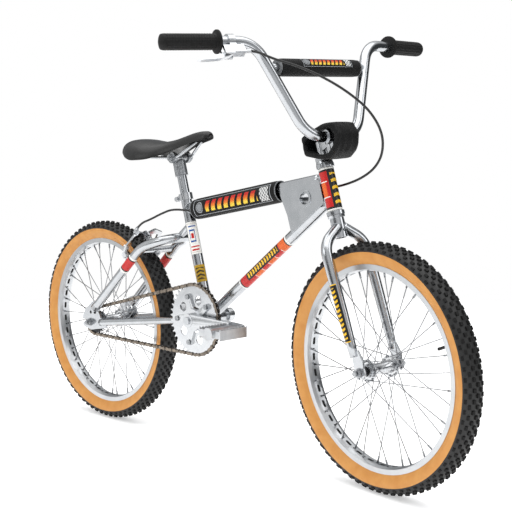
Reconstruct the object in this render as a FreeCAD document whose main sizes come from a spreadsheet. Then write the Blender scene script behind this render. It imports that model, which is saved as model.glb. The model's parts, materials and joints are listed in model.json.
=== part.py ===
"""A twenty inch BMX bike as an assembly of separate pieces.

X points forwards, Y to the rider's left, Z up, and the ground is z = 0 midway between the axles.
Lengths are millimetres. The front end is stored turned a little to the right.
"""
import FreeCAD, Part
import math
import os
import re
import Sketcher
from FreeCAD import Placement, Rotation, Vector

SIZES = [
    # the layout
    ("wheel_base", 887.0),
    ("wheel_radius", 254.0),
    ("head_angle", 73.3),
    ("fork_rake", 27.0),
    ("fork_drop", 374.0),
    ("steer_turn", -6.5),
    ("bracket_ahead", 382.0),
    ("bracket_height", 300.0),
    ("seat_angle", 74.3),
    # frame tubes
    ("tube_radius", 12.7),
    ("tube_wall", 1.6),
    ("head_tube_length", 90.0),
    ("head_tube_radius", 16.0),
    ("head_tube_wall", 1.7),
    ("seat_tube_length", 296.0),
    ("top_tube_on_seat", 259.0),
    ("top_tube_on_head", 24.0),
    ("down_tube_on_head", -18.0),
    ("loop_radius", 11.0),
    ("chain_stay_radius", 9.0),
    ("stay_wall", 1.5),
    ("bridge_radius", 8.0),
    ("dropout_thick", 5.0),
    ("gusset_thick", 1.5),
    ("eyelet_radius", 18.0),
    ("eyelet_bore", 12.5),
    ("shell_radius", 20.5),
    ("shell_width", 68.0),
    ("shell_bore", 17.4),
    # fork and headset
    ("leg_radius", 11.1),
    ("leg_wall", 1.6),
    ("leg_spread", 55.0),
    ("steerer_radius", 12.7),
    ("steerer_top", 66.0),
    ("crown_radius", 14.5),
    ("crown_bottom", 101.0),
    ("brake_hole_radius", 3.1),
    ("brake_hole_down", 87.0),
    ("cup_radius", 18.5),
    ("cup_height", 9.0),
    ("race_gap", 0.4),
    ("race_height", 6.0),
    # stem and bars
    ("quill_radius", 11.05),
    ("clamp_ahead", 41.0),
    ("clamp_up", 100.0),
    ("clamp_width", 44.0),
    ("bar_radius", 11.1),
    ("bar_wall", 1.8),
    ("bar_low_spread", 66.0),
    ("bar_top_spread", 153.0),
    ("bar_top_up", 297.0),
    ("bar_end_spread", 346.0),
    ("bar_end_up", 304.4),
    ("bar_sweep_back", 33.0),
    ("crossbar_radius", 8.0),
    ("crossbar_up", 245.0),
    ("crossbar_pad_radius", 18.5),
    ("crossbar_pad_length", 214.0),
    ("grip_radius", 16.0),
    ("grip_length", 118.0),
    ("grip_flange_radius", 23.5),
    ("soft_gap", 0.4),
    ("stem_pad_width", 66.0),
    ("stem_pad_thick", 9.0),
    ("top_pad_radius", 26.0),
    ("top_pad_bore", 21.0),
    ("top_pad_length", 275.0),
    # wheels
    ("rim_radius", 209.5),
    ("rim_half_width", 15.5),
    ("rim_floor_radius", 196.0),
    ("rim_wall", 1.6),
    ("tyre_half_width", 26.5),
    ("tyre_wall", 4.0),
    ("spoke_radius", 0.9),
    ("spoke_count", 36.0),
    ("spoke_inside", 2.3),
    ("spoke_outside", 4.6),
    ("hub_flange_radius", 23.0),
    ("hub_hole_radius", 19.0),
    ("hub_flange_thick", 2.6),
    ("front_flange_spread", 31.5),
    ("rear_flange_right", 25.0),
    ("rear_flange_left", 34.0),
    ("hub_body_radius", 11.5),
    ("bearing_radius", 10.5),
    ("axle_radius", 4.76),
    ("axle_neck_radius", 4.5),
    ("running_gap", 0.05),
    ("axle_overhang", 20.0),
    ("front_width", 100.0),
    ("rear_width", 110.0),
    # drive
    ("chain_pitch", 12.7),
    ("ring_teeth", 40.0),
    ("wheel_teeth", 16.0),
    ("tooth_thick", 2.9),
    ("chain_line", 44.0),
    ("crank_length", 165.0),
    ("arm_thick", 13.0),
    ("arm_inner", 54.0),
    ("spindle_radius", 8.5),
    ("bolt_circle_radius", 55.0),
    ("pedal_width", 84.0),
    ("pedal_depth", 66.0),
    ("pedal_spindle_radius", 5.0),
    # seat
    ("post_radius", 11.1),
    ("post_top", 368.0),
    ("post_length", 190.0),
    ("rail_radius", 3.5),
    ("rail_spread", 22.0),
    # brake
    ("caliper_out", 45.0),
    ("caliper_reach", 73.0),
    ("cable_radius", 2.5),
    ("cable_side", -38.0),
    ("cable_forward", 8.0),
    ("lever_tilt", 21.6),
]

document = FreeCAD.newDocument("bmx_bike")
sheet = document.addObject("Spreadsheet::Sheet", "Sizes")
for row, (alias, number) in enumerate(SIZES, start=1):
    sheet.set("A%d" % row, alias)
    sheet.set("B%d" % row, "%g" % number)
    sheet.setAlias("B%d" % row, alias)
document.recompute()
ALIASES = {alias for alias, number in SIZES}


def bound(text):
    """The expression with each size's name pointed at its cell."""
    def qualified(found):
        word = found.group()
        return "Sizes." + word if word in ALIASES else word

    return re.sub("[a-z_]+", qualified, text)


def size(text):
    """The number that an expression of sizes comes to now."""
    return float(sheet.evalExpression(bound(text)))


# ---------------------------------------------------------------- frames of reference

def turned_frame(origin, axis, angle):
    return Placement(origin, Rotation(axis, angle))


ACROSS = Vector(0, 1, 0)
UP = Vector(0, 0, 1)
ROW = Placement(Vector(-size("wheel_base / 2"), 0, 0), Rotation())
LEAN = -(90 - size("head_angle"))
REAR_AXLE = ROW * Placement(Vector(0, 0, size("wheel_radius")), Rotation())
FRONT_AXLE_POINT = Vector(size("wheel_base"), 0, size("wheel_radius"))
AXLE_IN_HEAD = Rotation(ACROSS, LEAN).multVec(Vector(size("fork_rake"), 0, -size("fork_drop")))
HEAD = ROW * Placement(FRONT_AXLE_POINT - AXLE_IN_HEAD, Rotation(ACROSS, LEAN))
FORK = HEAD * turned_frame(Vector(), UP, size("steer_turn"))
FRONT_AXLE = FORK * Placement(Vector(size("fork_rake"), 0, -size("fork_drop")), Rotation())
BRACKET = ROW * Placement(Vector(size("bracket_ahead"), 0, size("bracket_height")), Rotation())
SEAT = BRACKET * turned_frame(Vector(), ACROSS, -(90 - size("seat_angle")))
ALONG_AXLE = turned_frame(Vector(), Vector(1, 0, 0), -90)
BAR_UPRIGHT = Vector(0, size("bar_top_spread - bar_low_spread"), size("bar_top_up - clamp_up"))


def in_row(frame, x, y, z):
    """A point of a local frame, in the row's own frame."""
    return frame.multVec(Vector(x, y, z))


# ---------------------------------------------------------------- ways of making a piece

nodes = []


def keep(thing, label, frame=None):
    """Name a piece as a node, and put it in its frame."""
    thing.Label = label
    if frame is not None:
        thing.Placement = frame * thing.Placement
    nodes.append(thing)
    return thing


def shaped(shape):
    """A piece whose solid is worked out in code."""
    thing = document.addObject("Part::Feature", "Shaped")
    thing.Shape = shape
    return thing


def group(shapes):
    """Separate solids that share one node."""
    solids = [solid for shape in shapes for solid in shape.Solids]
    return shaped(Part.makeCompound(solids))


def turned(profile):
    """A turned piece: its half section, (radius, height) pairs, revolved about its own z axis."""
    body = document.addObject("PartDesign::Body", "Turned")
    plane = [item for item in body.Origin.OriginFeatures if item.Role == "XZ_Plane"][0]
    sketch = body.newObject("Sketcher::SketchObject", "Section")
    sketch.AttachmentSupport = (plane, [""])
    sketch.MapMode = "FlatFace"
    corners = [Vector(size(radius), size(height), 0) for radius, height in profile]
    count = len(corners)
    for index in range(count):
        sketch.addGeometry(Part.LineSegment(corners[index], corners[(index + 1) % count]), False)
    for index in range(count):
        sketch.addConstraint(Sketcher.Constraint("Coincident", index, 2, (index + 1) % count, 1))
    for index, (radius, height) in enumerate(profile):
        corner = corners[index]
        for kind, text, number in (("DistanceX", radius, corner.x), ("DistanceY", height, corner.y)):
            place = sketch.addConstraint(Sketcher.Constraint(kind, -1, 1, index, 1, number))
            sketch.setExpression("Constraints[%d]" % place, bound(text))
    turning = body.newObject("PartDesign::Revolution", "Turning")
    turning.Profile = sketch
    turning.ReferenceAxis = (sketch, ["V_Axis"])
    turning.Angle = 360
    return body


def ring(inner, outer, low, high):
    """The half section of a plain ring."""
    return [(inner, low), (outer, low), (outer, high), (inner, high)]


def rod(radius, length, frame):
    """A plain cylinder, as a primitive whose sizes follow the sheet."""
    thing = document.addObject("Part::Cylinder", "Rod")
    thing.setExpression("Radius", bound(radius))
    thing.setExpression("Height", bound(length))
    thing.Placement = frame
    return thing


def hexagon(corner_radius, length, frame):
    """A six-sided prism, as a primitive."""
    thing = document.addObject("Part::Prism", "Hexagon")
    thing.Polygon = 6
    thing.setExpression("Circumradius", bound(corner_radius))
    thing.setExpression("Height", bound(length))
    thing.Placement = frame
    return thing


def compound(things):
    """Separate document objects that share one node."""
    gathered = document.addObject("Part::Compound", "Set")
    gathered.Links = things
    return gathered


def straight(start, end, radius):
    """A solid round bar between two points."""
    along = end - start
    return Part.makeCylinder(radius, along.Length, start, along)


def tube_between(start, end, outer, wall):
    return straight(start, end, outer).cut(straight(start, end, outer - wall))


def route(points, radii):
    """A path of straight runs joined by tangent arcs, one radius for each inner point."""
    edges = []
    begin = points[0]
    for index in range(1, len(points) - 1):
        corner = points[index]
        back = (points[index - 1] - corner).normalize()
        ahead = (points[index + 1] - corner).normalize()
        half_turn = (math.pi - back.getAngle(ahead)) / 2
        reach = radii[index - 1] * math.tan(half_turn)
        first = corner + back * reach
        last = corner + ahead * reach
        middle = (back + ahead).normalize()
        middle = corner + middle * (radii[index - 1] / math.cos(half_turn) - radii[index - 1])
        edges.append(Part.LineSegment(begin, first).toShape())
        edges.append(Part.Arc(first, middle, last).toShape())
        begin = last
    edges.append(Part.LineSegment(begin, points[-1]).toShape())
    return Part.Wire(edges)


def bent_bar(points, radii, radius):
    """A round bar carried along a route."""
    path = route(points, radii)
    along = points[1] - points[0]
    section = Part.Wire(Part.Circle(points[0], along, radius).toShape())
    return path.makePipeShell([section], True, True)


def bent_tube(points, radii, outer, wall):
    return bent_bar(points, radii, outer).cut(bent_bar(points, radii, outer - wall))


def slab(outline, thickness, rounding=0.0):
    """A flat plate in the XZ plane, centred on y = 0, with its corners rounded."""
    corners = [Vector(x, -thickness / 2, z) for x, z in outline]
    face = Part.Face(Part.makePolygon(corners + corners[:1]))
    plate = face.extrude(Vector(0, thickness, 0))
    if rounding:
        upright = [edge for edge in plate.Edges if abs(edge.tangentAt(edge.FirstParameter).y) > 0.99]
        plate = plate.makeFillet(rounding, upright)
    return plate


def drilled(shape, holes, depth=200.0):
    """A plate with round holes through it along y: each hole is (x, z, radius)."""
    for x, z, radius in holes:
        shape = shape.cut(Part.makeCylinder(radius, depth, Vector(x, -depth / 2, z), ACROSS))
    return shape


def moved(shape, frame):
    copy = shape.copy()
    copy.Placement = frame * copy.Placement
    return copy


def mirrored(shape):
    """The same piece on the rider's other side."""
    return shape.mirror(Vector(), ACROSS)


def both_sides(shape):
    return [shape, mirrored(shape)]


# ---------------------------------------------------------------- frame tubes

def local(x, y, z):
    """A point measured from below the rear axle, in the row's frame."""
    return in_row(ROW, x, y, z)


tube_radius = size("tube_radius")
tube_wall = size("tube_wall")
SOLID_HEAD = straight(
    in_row(HEAD, 0, 0, -size("head_tube_length / 2")),
    in_row(HEAD, 0, 0, size("head_tube_length / 2")),
    size("head_tube_radius"),
)
SOLID_SEAT = straight(in_row(SEAT, 0, 0, 0), in_row(SEAT, 0, 0, size("seat_tube_length")), tube_radius)
SOLID_SHELL = straight(
    in_row(BRACKET, 0, -size("shell_width / 2"), 0),
    in_row(BRACKET, 0, size("shell_width / 2"), 0),
    size("shell_radius"),
)
TOP_TUBE_REAR = in_row(SEAT, 0, 0, size("top_tube_on_seat"))
TOP_TUBE_FRONT = in_row(HEAD, 0, 0, size("top_tube_on_head"))
DOWN_TUBE_FRONT = in_row(HEAD, 0, 0, size("down_tube_on_head"))
DOWN_TUBE_REAR = in_row(BRACKET, 0, 0, 0)


def head_tube():
    half = "head_tube_length / 2"
    wall = ring("head_tube_radius - head_tube_wall", "head_tube_radius", "-" + half, half)
    keep(turned(wall), "head_tube", HEAD)


def main_tubes():
    """The top, down and seat tubes, coped to what they meet."""
    top = tube_between(TOP_TUBE_REAR, TOP_TUBE_FRONT, tube_radius, tube_wall)
    keep(shaped(top.cut(SOLID_HEAD).cut(SOLID_SEAT)), "top_tube")
    down = tube_between(DOWN_TUBE_REAR, DOWN_TUBE_FRONT, tube_radius, tube_wall)
    down = down.cut(SOLID_HEAD).cut(SOLID_SHELL).cut(SOLID_SEAT)
    keep(shaped(max(down.Solids, key=lambda solid: solid.Volume)), "down_tube")
    bore = straight(
        in_row(SEAT, 0, 0, 0),
        in_row(SEAT, 0, 0, size("seat_tube_length")),
        size("post_radius + running_gap"),
    )
    keep(shaped(SOLID_SEAT.cut(bore).cut(SOLID_SHELL)), "seat_tube")


def head_gusset():
    """Two side plates that box in the corner behind the head tube, with an eyelet through them."""
    rear = TOP_TUBE_REAR + (TOP_TUBE_FRONT - TOP_TUBE_REAR) * 0.70
    front = TOP_TUBE_FRONT + (TOP_TUBE_REAR - TOP_TUBE_FRONT) * 0.03
    low_front = DOWN_TUBE_FRONT + (DOWN_TUBE_REAR - DOWN_TUBE_FRONT) * 0.03
    low_rear = DOWN_TUBE_FRONT + (DOWN_TUBE_REAR - DOWN_TUBE_FRONT) * 0.27
    inward = low_rear + Vector(-12, 0, 38)
    outline = [(point.x, point.z) for point in (rear, front, low_front, low_rear, inward)]
    plate = slab(outline, size("gusset_thick"))
    side = size("tube_radius + gusset_thick / 2")
    eye = (rear + front + low_front + low_rear) * 0.25 + Vector(6, 0, 6)
    reach = size("tube_radius + gusset_thick")
    lip = size("gusset_thick")
    pipe = straight(eye - ACROSS * (reach + lip), eye + ACROSS * (reach + lip), size("eyelet_bore + 2"))
    hole = straight(eye - ACROSS * 60, eye + ACROSS * 60, size("eyelet_bore"))
    sides = [moved(plate, Placement(Vector(0, y, 0), Rotation())) for y in (-side, side)]
    plates = [sheet.cut(pipe).cut(SOLID_HEAD) for sheet in sides]
    lips = [
        straight(eye + ACROSS * reach, eye + ACROSS * (reach + lip), size("eyelet_radius")),
        straight(eye - ACROSS * reach, eye - ACROSS * (reach + lip), size("eyelet_radius")),
    ]
    eyelet = pipe.fuse(lips).cut(hole)
    keep(group(plates + [eyelet]), "head_gusset")


def rear_frame():
    """The one-piece loop of seat stays, its bridges, the chain stays and the dropouts."""
    side = size("rear_width / 2 + dropout_thick / 2")
    outline = [
        (-32, 13), (-20, 32), (8, 52), (36, 60), (44, 48), (33, 31), (44, 12),
        (64, 10), (64, -9), (36, -14), (2, -20), (-24, -15), (-32, -10),
    ]
    plate = slab(outline, size("dropout_thick"), 2.5)
    slot = Part.makeBox(60, 20, size("axle_radius * 2 + 0.5"), Vector(-60, -10, -size("axle_radius + 0.25")))
    plate = drilled(plate.cut(slot), [(0, 0, size("axle_radius + 0.25")), (19, 27, 5.0), (2, 25, 4.0)])
    dropouts = [moved(plate, REAR_AXLE * Placement(Vector(0, y, 0), Rotation())) for y in (-side, side)]
    bend = [
        local(22, -61, 291), local(205, -56, 456), local(283, -38, 480),
        local(283, 38, 480), local(205, 56, 456), local(22, 61, 291),
    ]
    radii = [90, 44, 44, 90]
    outer = size("loop_radius")
    loop = bent_tube(bend, radii, outer, size("stay_wall"))
    solid_loop = bent_bar(bend, radii, outer)
    for plate in dropouts:
        loop = loop.cut(plate)
    keep(shaped(max(loop.Solids, key=lambda solid: solid.Volume)), "seat_stay_loop")
    low_end = in_row(SEAT, 0, 0, 222)
    post = tube_between(low_end, local(281, 0, 482), size("bridge_radius"), size("stay_wall"))
    post = post.cut(SOLID_SEAT).cut(solid_loop)
    cross = tube_between(local(190, -60, 445), local(190, 60, 445), size("bridge_radius"), size("stay_wall"))
    cross = cross.cut(solid_loop)
    middle = [solid for solid in cross.Solids if abs(solid.CenterOfMass.y) < 5]
    upper = [max(post.Solids, key=lambda solid: solid.Volume)]
    passage = straight(local(190, 0, 445) - CALIPER_AXIS * 30, local(190, 0, 445) + CALIPER_AXIS * 30, 3.1)
    keep(group([middle[0].cut(passage), upper[0]]), "stay_bridges")
    stays = []
    for sign in (-1, 1):
        stay = tube_between(
            local(36, sign * side, size("wheel_radius + 2")),
            in_row(BRACKET, -7, sign * 24, -3),
            size("chain_stay_radius"),
            size("stay_wall"),
        )
        stay = stay.cut(SOLID_SHELL).cut(SOLID_SEAT)
        for plate in dropouts:
            stay = stay.cut(plate)
        stays.append(max(stay.Solids, key=lambda solid: solid.Volume))
    keep(group(stays), "chain_stays")
    keep(group(dropouts), "rear_dropouts")


def bottom_bracket():
    """The shell, and a cup with its ring of balls screwed into each end."""
    shell_frame = BRACKET * ALONG_AXLE
    half = "shell_width / 2"
    keep(turned(ring("shell_bore", "shell_radius", "-" + half, half)), "bottom_bracket_shell", shell_frame)
    section = [
        ("spindle_radius + running_gap", half + " - 8"),
        ("shell_bore", half + " - 14"),
        ("shell_bore", half),
        ("shell_radius - 1", half),
        ("shell_radius - 1", half + " + 3"),
        ("spindle_radius + running_gap", half + " + 3"),
    ]
    cup = turned(section)
    other = turned([(radius, "-(" + height + ")") for radius, height in section])
    keep(compound([cup, other]), "bottom_bracket_cups", shell_frame)


def headset():
    """Cups pressed into the head tube, races that turn with the fork, and balls between them."""
    half = "head_tube_length / 2"
    cups = []
    races = []
    balls = []
    for sign in ("", "-"):
        cup = [
            ("steerer_radius + 0.5", half + " - 8"),
            ("head_tube_radius - head_tube_wall", half + " - 8"),
            ("head_tube_radius - head_tube_wall", half),
            ("cup_radius", half + " + 1"),
            ("cup_radius", half + " + cup_height"),
            ("cup_radius - 2", half + " + cup_height"),
            ("cup_radius - 2", half + " + 4"),
            ("steerer_radius + 0.5", half + " + 4"),
        ]
        race = [
            ("steerer_radius", half + " + cup_height - 3"),
            ("cup_radius - 3", half + " + cup_height - 1.5"),
            ("cup_radius - 3", half + " + cup_height + race_gap"),
            ("cup_radius - 0.6", half + " + cup_height + race_gap"),
            ("cup_radius - 1.5", half + " + cup_height + race_height"),
            ("steerer_radius", half + " + cup_height + race_height"),
        ]
        inner = "cup_radius - 3 + running_gap"
        ball_ring = ring(inner, "cup_radius - 2", half + " + 5", half + " + cup_height")
        for section, kept in ((cup, cups), (race, races), (ball_ring, balls)):
            kept.append(turned([(radius, sign + "(" + height + ")") for radius, height in section]))
    keep(compound(cups), "headset_cups", HEAD)
    keep(compound(balls), "headset_bearings", HEAD)
    top = half + " + cup_height + race_height"
    nut = hexagon("cup_radius - 0.3", "7", Placement(Vector(0, 0, size(top + " + 1")), Rotation()))
    bore = rod("steerer_radius", "20", Placement(Vector(0, 0, size(top) - 2), Rotation()))
    locknut = document.addObject("Part::Cut", "Locknut")
    locknut.Base = nut
    locknut.Tool = bore
    washer = turned(ring("steerer_radius", "cup_radius - 2", top, top + " + 1"))
    keep(compound(races + [washer, locknut]), "headset_races", FORK)


# ---------------------------------------------------------------- fork

LEG_TOP = Vector(4, 0, -size("brake_hole_down") + 8)


def leg_route(sign):
    spread = size("leg_spread")
    return [
        LEG_TOP + Vector(0, sign * 6, 0),
        Vector(8, sign * (spread + 1), -112),
        Vector(22, sign * (spread - 1), -size("fork_drop") + 34),
    ]


def fork():
    """The steerer and its crown column, two curved legs, and the axle plates."""
    lower = "-(head_tube_length / 2 + cup_height + race_height)"
    steerer = turned([
        ("quill_radius + running_gap", "-20"),
        ("quill_radius + running_gap", "steerer_top"),
        ("steerer_radius", "steerer_top"),
        ("steerer_radius", lower),
        ("crown_radius", lower),
        ("crown_radius", "-crown_bottom"),
        ("crown_radius - 3", "-crown_bottom"),
        ("crown_radius - 3", "-30"),
    ])
    document.recompute()
    column = steerer.Shape
    down = size("brake_hole_down")
    column = column.cut(straight(Vector(-40, 0, -down), Vector(40, 0, -down), size("brake_hole_radius")))
    solid_column = straight(Vector(0, 0, -size("crown_bottom")), Vector(0, 0, -50), size("crown_radius"))
    outline = [
        (-10, 40), (8, 44), (16, 20), (13, 6), (14, -8), (4, -14), (-8, -12), (-13, 0), (-12, 20),
    ]
    rake = size("fork_rake")
    drop = size("fork_drop")
    plate = drilled(slab(outline, size("dropout_thick"), 2.5), [(0, 0, size("axle_radius + 0.25"))])
    slot = Part.makeBox(size("axle_radius * 2 + 0.5"), 20, 30, Vector(-size("axle_radius + 0.25"), -10, -30))
    plate = plate.cut(slot)
    side = size("front_width / 2 + dropout_thick / 2")
    plates = [moved(plate, Placement(Vector(rake, y, -drop), Rotation())) for y in (-side, side)]
    legs = []
    for sign in (-1, 1):
        leg = bent_tube(leg_route(sign), [48], size("leg_radius"), size("leg_wall")).cut(solid_column)
        for plate in plates:
            leg = leg.cut(plate)
        legs.append(max(leg.Solids, key=lambda solid: solid.Volume))
    keep(shaped(column), "fork_steerer", FORK)
    keep(group(legs + plates), "fork_legs", FORK)


# ---------------------------------------------------------------- stem and handlebar

def bar_route():
    """The bar's corners on one side, from the middle of the clamp out to the grip's end."""
    ahead = size("clamp_ahead")
    low = Vector(ahead, size("bar_low_spread"), size("clamp_up"))
    top = Vector(ahead, size("bar_top_spread"), size("bar_top_up"))
    end = Vector(ahead - size("bar_sweep_back"), size("bar_end_spread"), size("bar_end_up"))
    return low, top, end


def other_side(point):
    return Vector(point.x, -point.y, point.z)


def handlebar():
    low, top, end = bar_route()
    points = [other_side(end), other_side(top), other_side(low), low, top, end]
    radii = [58, 62, 62, 58]
    bar = bent_tube(points, radii, size("bar_radius"), size("bar_wall"))
    keep(shaped(bar), "handlebar", FORK)
    solid_bar = bent_bar(points, radii, size("bar_radius"))
    ahead = size("clamp_ahead")
    up = size("crossbar_up")
    reach = size("bar_top_spread")
    cross = tube_between(Vector(ahead, -reach, up), Vector(ahead, reach, up), size("crossbar_radius"), 1.5)
    cross = min(cross.cut(solid_bar).Solids, key=lambda solid: abs(solid.CenterOfMass.y))
    keep(shaped(cross), "crossbar", FORK)
    half = size("crossbar_pad_length / 2")
    pad = Part.makeCylinder(size("crossbar_pad_radius"), 2 * half, Vector(ahead, -half, up), ACROSS)
    bar_gap = size("crossbar_radius + soft_gap")
    hole = Part.makeCylinder(bar_gap, 4 * half, Vector(ahead, -2 * half, up), ACROSS)
    round_bar = bent_bar(points, radii, size("bar_radius + soft_gap"))
    pad = pad.cut(hole).cut(round_bar)
    keep(shaped(min(pad.Solids, key=lambda solid: abs(solid.CenterOfMass.y))), "crossbar_pad", FORK)
    return solid_bar


def grip_frame(sign):
    """A frame at one end of the bar, its z axis pointing out along the grip."""
    low, top, end = bar_route()
    if sign < 0:
        top, end = other_side(top), other_side(end)
    return Placement(end, Rotation(UP, end - top))


def grips():
    """A rubber sleeve with a flange inboard and a closed end, one on each end of the bar."""
    length = "grip_length"
    section = [
        ("0", "0.3"),
        ("bar_radius + 0.1", "0.3"),
        ("bar_radius + 0.1", "-" + length),
        ("grip_flange_radius", "-" + length),
        ("grip_flange_radius", "-" + length + " + 4"),
        ("grip_radius", "-" + length + " + 7"),
        ("grip_radius", "2"),
        ("grip_radius - 3", "4"),
        ("0", "4"),
    ]
    pair = []
    for sign in (-1, 1):
        one = turned(section)
        one.Placement = grip_frame(sign)
        pair.append(one)
    keep(compound(pair), "grips", FORK)


def stem(solid_bar):
    """A quill stem: it slides into the steerer, reaches forwards and clamps the bar."""
    ahead = size("clamp_ahead")
    up = size("clamp_up")
    quill = Part.makeCylinder(size("quill_radius"), 100, Vector(0, 0, -15), UP)
    head = Part.makeCylinder(12.5, 28, Vector(0, 0, 72), UP)
    width = size("clamp_width")
    sleeve = Part.makeCylinder(15, width, Vector(ahead, -width / 2, up), ACROSS)
    web = slab([(0, 76), (ahead, 88), (ahead, 112), (0, 98)], 18)
    ear = Part.makeBox(20, 24, 18, Vector(ahead - 12, -12, up - 31))
    body = quill.fuse([head, sleeve, web, ear])
    body = body.cut(Part.makeCylinder(size("bar_radius"), 2 * width, Vector(ahead, -width, up), ACROSS))
    body = body.cut(Part.makeBox(2.5, 60, 34, Vector(ahead - 3, -30, up - 40)))
    body = body.cut(Part.makeCylinder(4.2, 140, Vector(0, 0, -20), UP))
    body = body.cut(Part.makeCylinder(8, 20, Vector(0, 0, 100), UP))
    low = up - 25
    body = body.cut(Part.makeCylinder(3.0, 36, Vector(ahead - 20, 0, low), Vector(1, 0, 0)))
    keep(shaped(body.removeSplitter()), "quill_stem", FORK)
    expander = Part.makeCylinder(4.15, 120, Vector(0, 0, -20), UP)
    expander = expander.fuse(Part.makeCylinder(7, 6, Vector(0, 0, 100), UP))
    wedge = Part.makeCylinder(size("quill_radius"), 9, Vector(0, 0, -24.5), UP)
    pinch_head = Part.makeCylinder(5, 5, Vector(ahead - 12, 0, low), Vector(-1, 0, 0))
    bolt = Part.makeCylinder(2.95, 21, Vector(ahead - 12, 0, low), Vector(1, 0, 0)).fuse(pinch_head)
    keep(group([expander.fuse(wedge), bolt]), "stem_bolts", FORK)


def stem_pad():
    """A foam wrap round the stem: a closed band with a deep front, notched where the quill passes."""
    outline = [(-22, 117), (41, 125), (80, 119), (89, 92), (77, 68), (46, 53), (18, 60), (-22, 78)]
    opening = [(-13, 109), (41, 116), (70, 111), (79, 92), (68, 76), (46, 64), (20, 69), (-13, 86)]
    width = size("stem_pad_width")
    band = slab(outline, width, 4).cut(slab(opening, 2 * width))
    nut_room = Part.makeCylinder(20, 26, Vector(0, 0, 48), UP)
    neck_room = Part.makeCylinder(13, 50, Vector(0, 0, 48), UP)
    keep(shaped(band.cut(nut_room).cut(neck_room)), "stem_pad", FORK)


# ---------------------------------------------------------------- wheels

def around(radius, degrees, y):
    """A point of a wheel's own frame, from its radius, its angle and its place along the axle."""
    turn = math.radians(degrees)
    return Vector(radius * math.cos(turn), y, radius * math.sin(turn))


def hub_holes(flanges):
    """The angle of each spoke hole in each flange, with the flange's side and its offset."""
    per_flange = int(size("spoke_count")) // 2
    step = 360.0 / per_flange
    for side, flange in zip((-1, 1), flanges):
        for index in range(per_flange):
            yield side, flange, index, index * step + (step / 2 if side > 0 else 0), step


def lacing(flanges):
    """Spokes crossing three others: half of each flange's lead, and half trail."""
    spokes = []
    nipples = []
    radius = size("spoke_radius")
    for side, flange, index, angle, step in hub_holes(flanges):
        leads = index % 2 == 0
        out = side * (size("spoke_outside") if leads else -size("spoke_inside"))
        start = around(size("hub_hole_radius"), angle, side * flange + out)
        far = around(size("hub_hole_radius"), angle, side * flange - math.copysign(2.1, out))
        end_angle = angle + (3 * step if leads else -3 * step)
        end = around(size("rim_floor_radius"), end_angle, side * 4.0 + (1.05 if leads else -1.05))
        inward = (start - end).normalize()
        wire = straight(start, end + inward * 13, radius)
        elbow = straight(start, far, radius)
        button = straight(far, far + (far - start).normalize() * 0.8, 1.8)
        spokes.append(wire.fuse([elbow, Part.makeSphere(radius, start), button]))
        nipples.append(straight(end + inward * 13, end + inward * 0.3, 1.9))
    return spokes + nipples


def rim_and_tyre(prefix, frame):
    """A single-wall channel rim with lightening slots, a hollow tyre and its inner tube."""
    floor = "rim_floor_radius"
    edge = "rim_radius"
    wide = "rim_half_width"
    rim = turned([
        (floor, "-8"), (floor + " + 3", "-(" + wide + ")"), (edge, "-(" + wide + ")"),
        (edge, "-(" + wide + " - rim_wall)"), (floor + " + 5", "-(" + wide + " - rim_wall)"),
        (floor + " + rim_wall", "-7"), (floor + " + rim_wall", "7"),
        (floor + " + 5", wide + " - rim_wall"), (edge, wide + " - rim_wall"), (edge, wide),
        (floor + " + 3", wide), (floor, "8"),
    ])
    document.recompute()
    channel = moved(rim.Shape, ALONG_AXLE)
    count = int(size("spoke_count"))
    cutters = []
    for index in range(count):
        angle = math.radians((index + 0.5) * 360.0 / count)
        along = Vector(math.cos(angle), 0, math.sin(angle))
        tangent = Vector(-math.sin(angle), 0, math.cos(angle))
        base = along * (size(floor) - 6)
        angle = index * 360.0 / count
        start = around(size(floor) - 6, angle, 0)
        cutters.append(Part.makeCylinder(2.1, 12, start, around(1, angle, 0)))
        if index == 0:
            cutters.append(Part.makeCylinder(3.2, 12, base, along))
            continue
        for shift in (-5, 5):
            cutters.append(Part.makeCylinder(3.2, 12, base + tangent * shift, along))
        across = ACROSS * 3.2
        corners = [base + tangent * 5 + across, base - tangent * 5 + across]
        corners += [base - tangent * 5 - across, base + tangent * 5 - across]
        face = Part.Face(Part.makePolygon(corners + corners[:1]))
        cutters.append(face.extrude(along * 12))
    keep(shaped(channel.cut(cutters)), prefix + "_rim", frame)
    tyre_frame = frame * ALONG_AXLE
    half = size("tyre_half_width")
    outer = size("wheel_radius")
    lip = size("rim_half_width") - size("rim_wall") - 0.3
    foot = size("rim_floor_radius") + 6
    outside = [
        (foot, lip), (size("rim_radius") + 2, lip), (size("rim_radius") + 8, half - 4), (outer - 24, half),
        (outer - 12, half - 2), (outer - 4, half - 9), (outer, half - 17),
    ]
    wall = size("tyre_wall")
    inside = [
        (outer - wall - 2, half - 18), (outer - 8 - wall, half - 10), (outer - 15, half - 2 - wall),
        (outer - 25, half - wall),
        (size("rim_radius") + 9, half - 4 - wall),
        (size("rim_radius") + 1, lip - 3),
        (foot, lip - 3),
    ]
    loop = outside + [(radius, -y) for radius, y in reversed(outside)]
    loop += [(radius, -y) for radius, y in reversed(inside)] + inside
    corners = [Vector(radius, 0, y) for radius, y in loop]
    face = Part.Face(Part.makePolygon(corners + corners[:1]))
    keep(shaped(face.revolve(Vector(), UP, 360)), prefix + "_tyre", tyre_frame)
    tube_centre = size("rim_radius") + 19
    tube = Part.makeTorus(tube_centre, 17).cut(Part.makeTorus(tube_centre, 15.5))
    valve = Part.makeCylinder(3.0, 60, Vector(size(floor) - 28, 0, 0), Vector(1, 0, 0))
    valve = valve.cut(Part.makeTorus(tube_centre, 16.2))
    valve = min(valve.Solids, key=lambda solid: solid.CenterOfMass.x)
    valve_turn = turned_frame(Vector(), UP, -180.0 / count)
    keep(shaped(tube.fuse(valve)), prefix + "_inner_tube", tyre_frame * valve_turn)


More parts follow.
